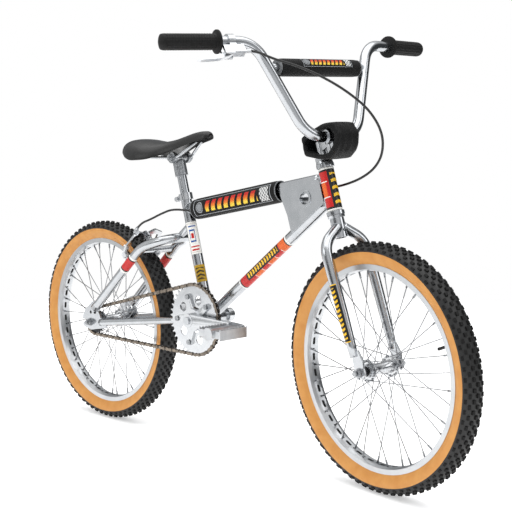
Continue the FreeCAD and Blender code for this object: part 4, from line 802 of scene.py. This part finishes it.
def tread_row(offset, radius, tilt, phase, length, width, height):
    """Points of one row: the unit block scaled, narrowed outwards, leant over and carried round."""
    turn = (np.arange(BLOCKS_ROUND) + phase) * 2 * np.pi / BLOCKS_ROUND
    level = np.zeros(BLOCKS_ROUND)
    radial = np.stack([np.cos(turn), level, np.sin(turn)], -1)
    tangent = np.stack([-np.sin(turn), level, np.cos(turn)], -1)
    lean = math.radians(tilt)
    across = np.array([0, 1.0, 0])
    outward = radial * math.cos(lean) + across * math.sin(lean)
    sidewise = across * math.cos(lean) - radial * math.sin(lean)
    taper = 1 - 0.16 * BLOCK[:, 2]
    narrowed = BLOCK * np.stack([taper, taper, np.ones(8)], -1)
    template = narrowed * [length, width, height] - [0, 0, BLOCK_SINK]
    grid = (radial * radius + across * offset)[:, None]
    for column, direction in enumerate((tangent, sidewise, outward)):
        grid = grid + template[None, :, column : column + 1] * direction[:, None]
    return grid.reshape(-1, 3)


def tyre(prefix, body, matrix):
    half = np.array(TYRE_PROFILE)
    inner = half[::-1] - [BEAD_WALL, 0]
    inner[:, 1] = np.maximum(inner[:, 1] - CASING_WALL, 0)
    outer_loop = np.concatenate([half, half[-2::-1] * [1, -1]])
    inner_loop = np.concatenate([inner[-1::-1] * [1, -1], inner[1:]])
    casing = spun(prefix + "_tyre_casing", np.concatenate([outer_loop, inner_loop]), matrix, 200)
    casing.data.materials.append(gum)
    settle(casing, body, "tyre", prefix + "_tyre")
    points = []
    for offset, radius, tilt, *rest in TREAD_ROWS:
        for side in (1, -1) if offset else (1,):
            points.append(tread_row(side * offset, radius, side * tilt, *rest))
    points = np.concatenate(points)
    faces = (BLOCK_FACES[None] + 8 * np.arange(len(points) // 8)[:, None, None]).reshape(-1, 4)
    tread = face_outwards(piece_of(prefix + "_tread_blocks", placed(matrix, points), faces, False))
    edge = tread.modifiers.new("soft edge", "BEVEL")
    edge.width, edge.segments = 0.45 * MM, 1
    settle(painted(tread, tread_rubber), body, "tyre")
    print(prefix, "casing outline points:", len(outer_loop) + len(inner_loop), "blocks:", len(points) // 8)


WHEELS = (("front", "front_wheel", front_axle), ("rear", "rear_wheel", rear_axle))
for prefix, body, matrix in WHEELS:
    tyre(prefix, body, matrix)

# %% [markdown]
# The rims are polished aluminium channels, drilled with a long hole between each pair of spokes.
# A black tape inside the rim shows through the holes, so it is a thin dark band of its own.

# %% Rims, hubs and spokes
rim_tape = rubber("black rim tape", "#101010", "#191919", 0.5)
TAPE_SECTION = [(197.75, -6.6), (198.5, -6.6), (198.5, 6.6), (197.75, 6.6)]
for prefix, body, matrix in WHEELS:
    refined(prefix + "_rim", rim_alloy, 30)
    refined(prefix + "_hub", polished_alloy, 30, 0.25)
    refined(prefix + "_spokes", stainless, 40)
    refined(prefix + "_axle", zinc, 30, 0.2)
    tape = spun(prefix + "_rim_tape", TAPE_SECTION, matrix, 180)
    settle(painted(tape, rim_tape), body, "rubber")
    painted(frame["nodes"][prefix + "_hub_bearings"], dark_steel)
    painted(frame["nodes"][prefix + "_inner_tube"], rim_tape)
print("wheels dressed:", len(WHEELS))

# %% [markdown]
# The drive is steel and aluminium: a stamped ring with a bolted spider, forged arms, a dark oiled
# chain and cage pedals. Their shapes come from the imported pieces, with slim bevels on the corners.

# %% Drive, fittings and plates
FITTINGS = [
    # node, metal, the least angle of a corner in degrees, the bevel in mm
    ("chainring", polished_alloy, 30, 0.25), ("right_crank_arm", polished_alloy, 30, 0.6),
    ("left_crank_arm", polished_alloy, 30, 0.6), ("crank_spindle", chrome, 30, 0.4),
    ("chainring_bolts", zinc, 30, 0.2), ("pedal_spindles", zinc, 30, 0.2),
    ("freewheel_sprocket", dark_steel, 30, 0.2), ("chain", oiled_chain_steel_with_shade, 35, 0.0),
    ("right_pedal", satin_alloy, 30, 0.3), ("left_pedal", satin_alloy, 30, 0.3),
    ("bottom_bracket_shell", chrome, 30, 0.5), ("bottom_bracket_cups", zinc, 30, 0.3),
    ("head_gusset", chrome, 30, 0.4), ("rear_dropouts", chrome, 30, 0.5),
    ("headset_cups", chrome, 30, 0.3), ("headset_races", chrome, 30, 0.3),
    ("fork_steerer", chrome, 30, 0.3), ("quill_stem", polished_alloy, 30, 0.7),
    ("stem_bolts", zinc, 30, 0.3), ("seatpost", chrome, 30, 0.2),
    ("seat_clamp", polished_alloy, 30, 0.5), ("saddle_clamp", zinc, 30, 0.5),
    ("saddle_rails", chrome, 35, 0.0), ("brake_centre_bolt", zinc, 30, 0.3),
    ("brake_lever", polished_alloy, 30, 0.8), ("brake_lever_bracket", polished_alloy, 30, 0.6),
]
for node, metal_finish, corner, bevel in FITTINGS:
    refined(node, metal_finish, corner, bevel)
wire = refined("brake_inner_wire", zinc, 40, rides=False)
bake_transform(wire)
for side, name in SIDES:
    refined(name + "_brake_arm", polished_alloy, 30, 0.6)
painted(frame["nodes"]["headset_bearings"], dark_steel)
print("packed pieces finished:", len(FITTINGS) + 3)

# %% [markdown]
# A chain's side plates are rubbed bright by oil and wear. Every other face, the rollers between the plates
# and the plate edges, is painted dark brown: partly grime, partly painted shade between the plates.
# The side plates are the faces that look left or right, so the normal's y share tells them apart.

# %% Bright side plates and painted shade on the chain
chain_tree = oiled_chain_steel_with_shade.node_tree
normal = add(chain_tree, "NewGeometry").outputs["True Normal"]
sideways_share = add(chain_tree, "SeparateXYZ", {0: normal}).outputs[1]
plate_share = math_node(chain_tree, "GREATER_THAN", math_node(chain_tree, "ABSOLUTE", sideways_share), 0.8)
oil = ramp(chain_tree, object_noise(chain_tree, 500.0), [(0.35, "#6f655b"), (0.7, "#a0968a")])
# Faces that don't look sideways get dark brown: partly grime, partly painted shade between the plates.
chain_wear_and_painted_shade = mixed(chain_tree, plate_share, colour("#241f1b"), oil)
chain_tree.links.new(chain_wear_and_painted_shade, chain_tree.nodes["Principled BSDF"].inputs["Base Color"])
print("chain nodes:", len(chain_tree.nodes))

# %% [markdown]
# Brake blocks are black rubber held in a metal channel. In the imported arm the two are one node, so
# the rubber is drawn again here, a little proud of the block beneath it.

# %% Brake blocks
block_rubber = rubber("brake block rubber", "#121212", "#211f1e", 0.7)
BLOCK_TILT = math.radians(-12.8)
BLOCK_HALF, NOTCHES = 23.2, 5
x_axis = np.array([math.cos(BLOCK_TILT), 0, -math.sin(BLOCK_TILT)])
z_axis = np.array([math.sin(BLOCK_TILT), 0, math.cos(BLOCK_TILT)])


def squared(value):
    """A sine or cosine pushed towards -1 and 1, which turns a circle into a rounded square."""
    return np.sign(value) * np.abs(value) ** 0.45


for (side, name), low in zip(SIDES, (-4.5, 1.5)):
    centre = np.array([-71, side * 19.25, low + 2.5])
    along = np.linspace(-BLOCK_HALF, BLOCK_HALF, 24)
    turn = np.linspace(0, 2 * np.pi, 32, endpoint=False)
    notch = 1 - 0.10 * (np.abs(np.sin(along / (2 * BLOCK_HALF) * np.pi * NOTCHES)) < 0.25)
    ends = np.clip((BLOCK_HALF + 0.4 - np.abs(along)) / 1.2, 0.35, 1) * notch
    width = squared(np.cos(turn))[None] * 5.3 * ends[:, None]
    grid = centre + along[:, None, None] * z_axis + width[..., None] * x_axis
    grid = grid + (squared(np.sin(turn)) * 1.95)[None, :, None] * np.array([0, 1.0, 0])
    shoe = painted(surface(name + "_brake_block", placed(caliper, grid)), block_rubber)
    settle(shoe, name + "_brake_arm", "rubber")
print("brake blocks, mm long:", 2 * BLOCK_HALF)

# %% [markdown]
# The saddle is a moulded plastic shell with a slim nose, a dipped middle and a wide tail whose
# skirts roll under. Across it the top is a super-ellipse, flat in the middle and steep at the
# edges. Along it the height, width and skirt follow smooth curves through a few measured stations.

# %% Saddle
saddle_skin, skin_tree, skin_shader = new_material("smooth black saddle cover", Roughness=0.34, IOR=1.5)
skin_tone = ramp(skin_tree, object_noise(skin_tree, 40.0), [(0.3, "#070707"), (0.8, "#101010")])
skin_tree.links.new(skin_tone, skin_shader.inputs["Base Color"])
skin_place = add(skin_tree, "TexCoord").outputs["Object"]
skin_cells = add(skin_tree, "TexVoronoi", {"Vector": skin_place, "Scale": 900.0})
bumped(skin_tree, skin_shader, skin_cells.outputs[0], 0.12, 0.0002)

STATIONS = np.array([
    # x ahead of the rear axle, half width, top height, skirt height
    (128, 34, 704, 694), (136, 52, 709, 684), (152, 64, 712, 672), (176, 70, 712, 662), (204, 69, 709, 661),
    (232, 58, 706, 664), (258, 42, 707, 672), (286, 30, 711, 682), (316, 24, 718, 692), (346, 21, 725, 701),
    (372, 18, 728, 707), (386, 14, 727, 711), (393, 8, 723, 714),
], float)


def smooth_stations(where, column):
    """A natural-looking curve through the stations: cubic, with slopes from neighbouring stations."""
    x, y = STATIONS[:, 0], STATIONS[:, column]
    slope = np.gradient(y, x)
    place = np.clip(np.searchsorted(x, where) - 1, 0, len(x) - 2)
    span = x[place + 1] - x[place]
    t = (where - x[place]) / span
    return (
        (2 * t**3 - 3 * t**2 + 1) * y[place] + (t**3 - 2 * t**2 + t) * span * slope[place]
        + (3 * t**2 - 2 * t**3) * y[place + 1] + (t**3 - t**2) * span * slope[place + 1]
    )


SHELL_ROWS, TOP_POINTS, UNDER_SHRINK = 96, 49, 0.94
saddle_rear, saddle_nose = STATIONS[0, 0], STATIONS[-1, 0]
where = saddle_rear + (saddle_nose - saddle_rear) * (0.5 - 0.5 * np.cos(np.linspace(0, np.pi, SHELL_ROWS)))
where = where[:, None]
wide, top, skirt = (smooth_stations(where, column) for column in (1, 2, 3))
across = np.sin(np.linspace(-np.pi / 2, np.pi / 2, TOP_POINTS))[None]
crown = (1 - np.abs(across) ** 2.6) ** (1 / 2.0)
dip = 1.2 * np.exp(-((where - 225) / 60) ** 2) * (1 - across**2)
upper = [where + 0 * across, wide * across, skirt + (top - skirt) * crown - dip]
under = across[:, ::-1][:, 1:-1]
hollow = (1 - np.abs(under) ** 3) ** 0.5
lower = [where + 0 * under, wide * under * UNDER_SHRINK, skirt + 0.6 + (top - skirt - 5.0) * hollow * 0.8]
skin_grid = np.concatenate([np.stack(upper, -1), np.stack(lower, -1)], 1)
saddle = surface("saddle_shell", placed(ground, skin_grid))
saddle.modifiers.new("round", "SUBSURF").levels = 1
saddle.modifiers["round"].render_levels = 1
settle(painted(saddle, saddle_skin), "seat", "saddle", "saddle")
print("saddle length, mm:", saddle_nose - saddle_rear)

# %% [markdown]
# Three foam pads cover the bars: on the crossbar, over the stem and along the top tube. Each is
# black woven nylon round foam. The two long ones carry a printed panel, drawn by the material in
# the pad's own coordinates: y along the pad and an angle round it.

# %% Nylon pad fabric


def to_pad_space(tree, matrix):
    """Object coordinates turned into a pad's own frame, in metres: three dot products."""
    place = add(tree, "TexCoord").outputs["Object"]
    moved = add(tree, "VectorMath", {0: place, 1: tuple(matrix[:3, 3])}, operation="SUBTRACT").outputs[0]
    pairs = [{0: moved, 1: tuple(matrix[:3, axis])} for axis in range(3)]
    return [add(tree, "VectorMath", pair, operation="DOT_PRODUCT").outputs["Value"] for pair in pairs]


THREAD = 1.2 * MM  # real threads are finer and wouldn't show
PAD_RADIUS = 20 * MM


def nylon(name, matrix, panel=None):
    """Black woven nylon, a product of two sine waves, with an optional printed panel."""
    material, tree, shader = new_material(name, Roughness=0.66, Specular_IOR_Level=0.25)
    shader.inputs["Sheen Weight"].default_value = 0.03
    shader.inputs["Sheen Roughness"].default_value = 0.4
    x, y, z = to_pad_space(tree, matrix)
    turn = math_node(tree, "ARCTAN2", x, z)
    threads = [
        math_node(tree, "SINE", math_node(tree, "MULTIPLY", value, 2 * math.pi / spacing))
        for value, spacing in ((y, THREAD), (turn, THREAD / PAD_RADIUS))
    ]
    ground_tone = ramp(tree, object_noise(tree, 90.0), [(0.3, "#040404"), (0.75, "#0b0b0c")])
    shade = panel(tree, y, turn, ground_tone) if panel else ground_tone
    tree.links.new(shade, shader.inputs["Base Color"])
    bumped(tree, shader, times(tree, *threads), 0.35, 0.0003)
    return material


BADGE_TONES = [(0.0, "#8d9093"), (0.62, "#3b3d3f"), (0.72, "#9a9da0"), (0.9, "#303133")]
STROKE_TONES = [(0.1, "#c22a24"), (0.5, "#e2762a"), (0.9, "#f3d24a")]


def race_panel(half_length, half_turn, middle_turn, strokes, centre=0.0):
    """A printed panel: a silver outline, slanted strokes, a round badge and a checked patch.

    Places along it are shares of its half length, and places round it are shares of half_turn.
    """
    stroke_reach = 0.68
    stroke_pitch = 2 * stroke_reach * half_length / strokes * MM

    def draw(tree, y, turn, base):
        offset = math_node(tree, "SUBTRACT", turn, middle_turn)
        y = math_node(tree, "SUBTRACT", y, centre * MM)

        def inside(low, high, share):
            along = between(tree, y, low * half_length, high * half_length)
            return times(tree, along, near(tree, offset, 0.0, half_turn * share))

        shade = mixed(tree, inside(-1.0, 1.0, 1.0), base, colour("#a9adb1"))
        shade = mixed(tree, inside(-0.985, 0.985, 0.93), shade, colour("#0a0a0a"))
        slanted = math_node(tree, "MULTIPLY_ADD", offset, 7 * MM, y)
        phase = math_node(tree, "FRACT", math_node(tree, "DIVIDE", slanted, stroke_pitch))
        stroke = math_node(tree, "LESS_THAN", phase, 0.62)
        stroke = times(tree, stroke, inside(-stroke_reach, stroke_reach, 0.62))
        reach = {0: offset, 1: -half_turn * 0.5, 2: half_turn * 0.5, 3: 0.0, 4: 1.0}
        height = add(tree, "MapRange", reach).outputs[0]
        shade = mixed(tree, stroke, shade, ramp(tree, height, STROKE_TONES))
        squares = [
            math_node(tree, "FLOOR", math_node(tree, "DIVIDE", value, size))
            for value, size in ((y, 4.0 * MM), (offset, 0.2))
        ]
        odd = math_node(tree, "FLOORED_MODULO", math_node(tree, "ADD", *squares), 2.0)
        checks = mixed(tree, odd, colour("#e4e4e2"), colour("#77797b"))
        shade = mixed(tree, inside(0.74, 0.95, 0.8), shade, checks)
        badge_half = 0.72 * half_turn
        across = math_node(tree, "DIVIDE", offset, badge_half)
        from_badge = math_node(tree, "ADD", y, 0.84 * half_length * MM)
        along = math_node(tree, "DIVIDE", from_badge, badge_half * PAD_RADIUS)
        place = add(tree, "CombineXYZ", {0: across, 1: along}).outputs[0]
        distance = add(tree, "VectorMath", {0: place}, operation="LENGTH").outputs["Value"]
        badge = math_node(tree, "LESS_THAN", distance, 0.98)
        return mixed(tree, badge, shade, ramp(tree, distance, BADGE_TONES, True))

    return draw


print("nylon threads, mm apart:", THREAD / MM)

# %% [markdown]
# A pad could be a plain tube, but foam behind fabric swells unevenly. So each sleeve starts a
# little slim, is run as cloth with air pressure inside for twenty frames, and is frozen where the
# wall has moved by no more than a cap. The bore stays where it is, and a lining binds each end.


# %% Pads


def pad_frame(start, end, towards_x):
    """A frame whose y axis runs along the pad and whose x axis is as near a direction as can be."""
    along = unit(end - start)
    x = unit(np.asarray(towards_x, float) - along * (np.asarray(towards_x, float) @ along))
    return axes_frame((start + end) / 2, along, np.cross(x, along))


def evened(piece, voxel_mm):
    """Rebuild a closed skin from equal voxels, so that cloth can move it evenly."""
    remesh = piece.modifiers.new("even skin", "REMESH")
    remesh.mode, remesh.voxel_size = "VOXEL", voxel_mm * MM
    graph = bpy.context.evaluated_depsgraph_get()
    even = bpy.data.meshes.new_from_object(piece.evaluated_get(graph))
    piece.modifiers.clear()
    piece.data = even
    return piece


def blow_up(piece, cap_mm, held):
    """Run cloth with pressure for twenty frames, and keep each point within a cap of where it was."""
    even = piece.data
    rest = np.zeros(len(even.vertices) * 3)
    even.vertices.foreach_get("co", rest)
    rest = rest.reshape(-1, 3)
    result = rest
    cloth = piece.modifiers.new("cloth", "CLOTH")
    cloth.settings.use_pressure = True
    cloth.settings.uniform_pressure_force = 4.0
    cloth.settings.effector_weights.gravity = 0.0
    for number in range(1, 21):
        scene.frame_set(number)
    graph = bpy.context.evaluated_depsgraph_get()
    swollen = bpy.data.meshes.new_from_object(piece.evaluated_get(graph))
    moved = np.zeros(len(swollen.vertices) * 3)
    swollen.vertices.foreach_get("co", moved)
    piece.modifiers.clear()
    scene.frame_set(1)
    shift = moved.reshape(-1, 3) - rest
    size = np.linalg.norm(shift, axis=1, keepdims=True)
    limit = cap_mm * MM * np.where(held(rest), 0.0, 1.0)[:, None]
    result = rest + shift * np.minimum(1.0, limit / np.maximum(size, 1e-9))
    swell = np.linalg.norm(result - rest, axis=1).max() / MM
    print(piece.name, "swelled up to, mm:", round(float(swell), 2))
    even.vertices.foreach_set("co", result.ravel())
    even.polygons.foreach_set("use_smooth", np.full(len(even.polygons), True))
    piece.modifiers.new("round", "SUBSURF").levels = 1
    piece.modifiers["round"].render_levels = 1
    return piece


SLACK, END_TUCK = 2.2, 1.0  # mm the wall starts inside its final radius, and more at its ends
SLEEVE_CAP = 2.4


def sleeve_pad(name, matrix, half_length, radius, bore, material, body, node):
    """A sleeve of foam: outer and inner walls of revolution, narrowing a little at both ends."""
    steps = int(half_length / 2)
    s = np.linspace(-half_length, half_length, steps)
    outer = radius - SLACK - END_TUCK * np.exp(-((half_length - np.abs(s)) / 7.0) ** 2)
    loop = np.concatenate([np.stack([outer, s], -1), np.stack([np.full(steps, bore), s[::-1]], -1)])
    piece = spun(name, loop, matrix, 96)
    inverse = np.linalg.inv(matrix)

    def held(points):
        local = points @ inverse[:3, :3].T + inverse[:3, 3]
        return np.hypot(local[:, 0], local[:, 2]) < (bore + 1.6) * MM

    blow_up(painted(piece, material), SLEEVE_CAP, held)
    settle(piece, body, "pad", node)
    mouth = radius - 3.6
    phase = np.linspace(0, 2 * np.pi, 18, endpoint=False)
    for side, end in SIDES:
        ring_radius = (mouth + bore) / 2 + ((mouth - bore) / 2 + 0.6) * np.cos(phase)
        profile = np.stack([ring_radius, side * (half_length + 0.4) + 1.3 * np.sin(phase)], -1)
        binding = spun(name + "_binding_" + end, profile, matrix, 72)
        settle(painted(binding, binding_tape), body, "pad")
    return piece


binding_tape = rubber("grey pad lining", "#6c6e70", "#8b8d8f", 0.85)
CROSS_HALF, TUBE_PAD_LENGTH = 107, 275
cross_start, cross_end = placed(fork, [(41, -CROSS_HALF, 245), (41, CROSS_HALF, 245)])
cross_frame = pad_frame(cross_start, cross_end, fork[:3, 0])
cross_nylon = nylon("crossbar pad nylon", cross_frame, race_panel(66, 0.62, math.pi / 2 - 0.42, 8, 14.0))
sleeve_pad("crossbar_foam", cross_frame, CROSS_HALF, 20.0, 8.7, cross_nylon, "fork", "crossbar_pad")

tube_along = unit(top_front - top_rear)
tube_below = np.array([tube_along[2], 0, -tube_along[0]])
pad_rear = top_rear + tube_along * 32 * MM + tube_below * 6 * MM
pad_front = pad_rear + tube_along * TUBE_PAD_LENGTH * MM
tube_pad_frame = pad_frame(pad_rear, pad_front, (0, -1, 0))
tube_nylon = nylon("top tube pad nylon", tube_pad_frame, race_panel(125, 0.85, math.pi / 2, 8))
tube_half = TUBE_PAD_LENGTH / 2
sleeve_pad("top_tube_foam", tube_pad_frame, tube_half, 26.0, 21.3, tube_nylon, "frame", "top_tube_pad")
print("pad lengths, mm:", 2 * CROSS_HALF, TUBE_PAD_LENGTH)

# %% [markdown]
# The stem pad is thicker: a block of foam wrapped round the stem in black nylon, with sewn
# channels across its front face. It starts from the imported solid, rebuilt in equal voxels, swells
# as cloth, and is then drawn in along three channels where the front face is.

# %% Stem pad
stem_source = frame["nodes"]["stem_pad"]
stem_work = bmesh.new()
stem_work.from_mesh(stem_source.data)
bmesh.ops.remove_doubles(stem_work, verts=stem_work.verts, dist=2e-6)
stem_mesh = bpy.data.meshes.new("stem_foam")
stem_work.to_mesh(stem_mesh)
stem_work.free()
stem_foam = bpy.data.objects.new("stem_foam", stem_mesh)
scene.collection.objects.link(stem_foam)
fork_inverse = np.linalg.inv(fork)


CHANNEL_DEPTH, CHANNEL_WAVES, PAD_WIDTH = 5.0, 4, 66


def in_fork(points):
    """Points in the fork's frame, in millimetres."""
    return (points @ fork_inverse[:3, :3].T + fork_inverse[:3, 3]) / MM


def inside_stem(points):
    """Points that face the stem or its nut, which stay where they are."""
    x, y, z = in_fork(points).T
    return (np.abs(y) < 32) & (x > -16) & (x < 71) & (z > 66) & (z < 118)


stem_ends = placed(fork, [(40, -33, 90), (40, 33, 90)])
stem_nylon = nylon("stem pad nylon", pad_frame(*stem_ends, fork[:3, 0]))
blow_up(evened(stem_foam, 4.0), 3.0, inside_stem)
stem_points = np.zeros(len(stem_foam.data.vertices) * 3)
stem_foam.data.vertices.foreach_get("co", stem_points)
stem_local = in_fork(stem_points.reshape(-1, 3))
outward = unit(stem_local - np.array([34.0, 0, 92.0]))
channel = np.abs(np.sin(stem_local[:, 1] / PAD_WIDTH * np.pi * CHANNEL_WAVES)) ** 0.5
front_share = np.clip((stem_local[:, 0] - 66) / 8, 0, 1)[:, None]
stem_local = stem_local - outward * (1 - channel)[:, None] * CHANNEL_DEPTH * front_share
stem_foam.data.vertices.foreach_set("co", placed(fork, stem_local).ravel())
settle(painted(stem_foam, stem_nylon), "fork", "pad", "stem_pad")

# %% [markdown]
# The brake cable is a steel wire inside a black vinyl casing. It leaves the lever, swings forward
# in a wide loop, passes the head tube and runs under the top tube to the caliper. Its line is one
# smooth spline with the design's own route points as its control points.

# %% Brake cable
vinyl, vinyl_tree, vinyl_shader = new_material("black vinyl cable casing", Roughness=0.32, IOR=1.5)
vinyl_tone = ramp(vinyl_tree, object_noise(vinyl_tree, 120.0), [(0.3, "#0a0a0a"), (0.8, "#1c1c1c")])
vinyl_tree.links.new(vinyl_tone, vinyl_shader.inputs["Base Color"])
bumped(vinyl_tree, vinyl_shader, object_noise(vinyl_tree, 1400.0), 0.1, 0.0001)

LEVER_PLACE, LEVER_LEAN = 205.0, math.radians(-21.6)
bar_end, bar_top = BAR_END * RIGHT_SIDE, BAR_TOP * RIGHT_SIDE
lever_share = (LEVER_PLACE - BAR_TOP[1]) / (BAR_END[1] - BAR_TOP[1])
lever_along = unit(bar_end - bar_top)
forward = unit(np.array([1.0, 0, 0]) - lever_along * lever_along[0])
raised = np.cross(forward, -lever_along)
lever_frame = np.eye(4)
lever_frame[:3, 0] = forward * math.cos(LEVER_LEAN) - raised * math.sin(LEVER_LEAN)
lever_frame[:3, 1] = -lever_along
lever_frame[:3, 2] = forward * math.sin(LEVER_LEAN) + raised * math.cos(LEVER_LEAN)
lever_frame[:3, 3] = bar_top + (bar_end - bar_top) * lever_share


def lever_point(x, y, z):
    return placed(fork, lever_frame[:3, :3] @ np.array([x, y, z]) + lever_frame[:3, 3])


sweep = [
    (67, -137, 253), (96, -98, 227), (120, -57, 193), (137, -22, 158), (146, 12, 120), (139, 40, 77),
    (120, 48, 40), (93, 45, 17), (58, 36, 6), (18, 27, 4), (-18, 22, 8),
]
under = [
    (385, 19.5, 4), (340, 17.6, 5), (295, 17, 6.5), (250, 17, 6), (210, 14, 11), (175, 4, 17), (140, -9, 16),
    (105, -16, 9), (65, -17.5, 6), (30, -19, 9),
]
route = [lever_point(2, 30, -26), lever_point(2, 50, -26)]
route += list(placed(fork, sweep))
for travel, y, below in under:
    route.append(top_rear + (tube_along * travel + np.array(LEFT) * y + tube_below * below) * MM)
route += list(placed(ground, [(288, -26, 549), (250, -32, 536), (218, -36.5, 522)]))
route += list(placed(caliper, [(40, -38, 8), (18, -38, 8)]))


def cable(name, points, radius_mm, material):
    """One smooth spline through the region of its control points, with a round section."""
    curve = bpy.data.curves.new(name, "CURVE")
    curve.dimensions = "3D"
    curve.bevel_depth = radius_mm * MM
    curve.bevel_resolution = 6
    curve.use_fill_caps = True
    spline = curve.splines.new("NURBS")
    spline.points.add(len(points) - 1)
    for control, point in zip(spline.points, points):
        control.co = (*point, 1.0)
    spline.order_u = 3
    spline.use_endpoint_u = True
    spline.resolution_u = 12
    drawn = bpy.data.objects.new(name + "_line", curve)
    piece = bpy.data.objects.new(name, bpy.data.meshes.new_from_object(drawn))
    bpy.data.objects.remove(drawn)
    scene.collection.objects.link(piece)
    return painted(piece, material)


housing = cable("brake_cable_housing", route, 2.5, vinyl)
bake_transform(housing)
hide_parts("brake_cable_casing")
print("cable control points:", len(route))

# %% [markdown]
# A turned metal ferrule caps the casing at each end, where it meets the lever and the caliper. It
# could be a CAD piece, but it is small and belongs to the finish, so it is turned here.

# %% Cable ferrules
FERRULE = [(2.7, 9.4), (3.6, 9.0), (3.6, 7.8), (3.3, 7.5), (3.3, 0.3), (2.7, 0)]


def ferrule(name, origin, towards, body):
    """(radius, distance) pairs carried round the line from an origin towards a point."""
    direction = unit(towards - origin)
    helper = np.array([0, 0, 1.0]) if abs(direction[2]) < 0.9 else np.array([1.0, 0, 0])
    side = unit(np.cross(direction, helper))
    radius, distance = np.array(FERRULE).T[:, :, None, None]
    turn = np.linspace(0, 2 * np.pi, 40, endpoint=False)
    ring = np.cos(turn)[:, None] * side + np.sin(turn)[:, None] * np.cross(direction, side)
    grid = origin + MM * (distance * direction + radius * ring)
    settle(painted(surface(name, grid), zinc), body, "steel")


ferrule("lever_ferrule", lever_point(2, 39, -26), lever_point(2, 30, -26), "fork")
ferrule("caliper_ferrule", *placed(caliper, [(27, -38, 8), (18, -38, 8)]), "frame")
print("ferrule length, mm:", FERRULE[0][1])

# %% [markdown]
# The bike stands on a pale studio floor that runs into the backdrop. Chrome shows whatever is
# round it, so the lights are broad white panels with darker gaps between them: the gaps give the
# tubes their long dark lines.

# %% Floor, world and lights
FLOOR_RADIUS, FLOOR_SIDES = 2.6, 64
floor_mesh = bpy.data.meshes.new("floor")
edge_turn = [2 * math.pi * step / FLOOR_SIDES for step in range(FLOOR_SIDES)]
edge_points = [(FLOOR_RADIUS * math.cos(turn), FLOOR_RADIUS * math.sin(turn), 0) for turn in edge_turn]
floor_mesh.from_pydata(edge_points, [], [range(FLOOR_SIDES)])
floor = bpy.data.objects.new("studio_floor", floor_mesh)
scene.collection.objects.link(floor)
paper, paper_tree, paper_shader = new_material("pale studio paper", Roughness=0.9)
paper_tone = ramp(paper_tree, object_noise(paper_tree, 3.0), [(0.3, "#f6f6f6"), (0.7, "#fafafa")])
paper_tree.links.new(paper_tone, paper_shader.inputs["Base Color"])
paper_shader.inputs["Emission Color"].default_value = colour("#ffffff")
paper_shader.inputs["Emission Strength"].default_value = 0.42
painted(floor, paper)

world = bpy.data.worlds.new("studio")
scene.world = world
world.use_nodes = True
sky = world.node_tree
direction = add(sky, "TexCoord").outputs["Generated"]
split_sky = add(sky, "SeparateXYZ", {0: direction})
azimuth = math_node(sky, "ARCTAN2", split_sky.outputs[1], split_sky.outputs[0])
round_share = add(sky, "MapRange", {0: azimuth, 1: -math.pi, 2: math.pi, 3: 0.0, 4: 1.0}).outputs[0]
WALL_TONES = [
    (0.0, "#c4c5c6"), (0.08, "#e6e7e7"), (0.16, "#ebecec"), (0.20, "#4c4e50"), (0.27, "#434547"),
    (0.32, "#d0d1d2"), (0.42, "#e6e7e8"), (0.50, "#b4b6b8"), (0.60, "#47494b"), (0.72, "#3f4143"),
    (0.80, "#9fa1a3"), (0.92, "#85878a"), (1.0, "#c4c5c6"),
]
walls = ramp(sky, round_share, WALL_TONES)
raised_share = add(sky, "MapRange", {0: split_sky.outputs[2], 1: 0.45, 2: 0.75, 3: 0.0, 4: 1.0}).outputs[0]
sky_tone = mixed(sky, raised_share, walls, colour("#ffffff"))
seen = add(sky, "LightPath").outputs["Is Camera Ray"]
background = sky.nodes["Background"]
sky.links.new(mixed(sky, seen, sky_tone, (1, 1, 1, 1)), background.inputs["Color"])
background.inputs["Strength"].default_value = 1.0


def panel_light(name, place, target, size, power):
    """A broad soft panel, turned to face a point."""
    light = bpy.data.objects.new(name, bpy.data.lights.new(name, "AREA"))
    scene.collection.objects.link(light)
    light.data.shape = "RECTANGLE"
    light.data.size, light.data.size_y = size
    light.data.energy = power
    light.location = place
    light.rotation_euler = (Vector(target) - Vector(place)).to_track_quat("-Z", "Y").to_euler()


BIKE_MIDDLE = (0, 0, 0.4)
panel_light("overhead", (0.2, -0.3, 3.4), BIKE_MIDDLE, (5.0, 4.0), 80)
panel_light("front_left", (3.0, 1.4, 2.0), BIKE_MIDDLE, (1.4, 1.6), 14)
panel_light("side_right", (-0.8, -3.4, 1.9), BIKE_MIDDLE, (2.2, 1.4), 18)
scene.view_settings.view_transform = "Standard"
print("panel lights:", [light.name for light in bpy.data.lights])
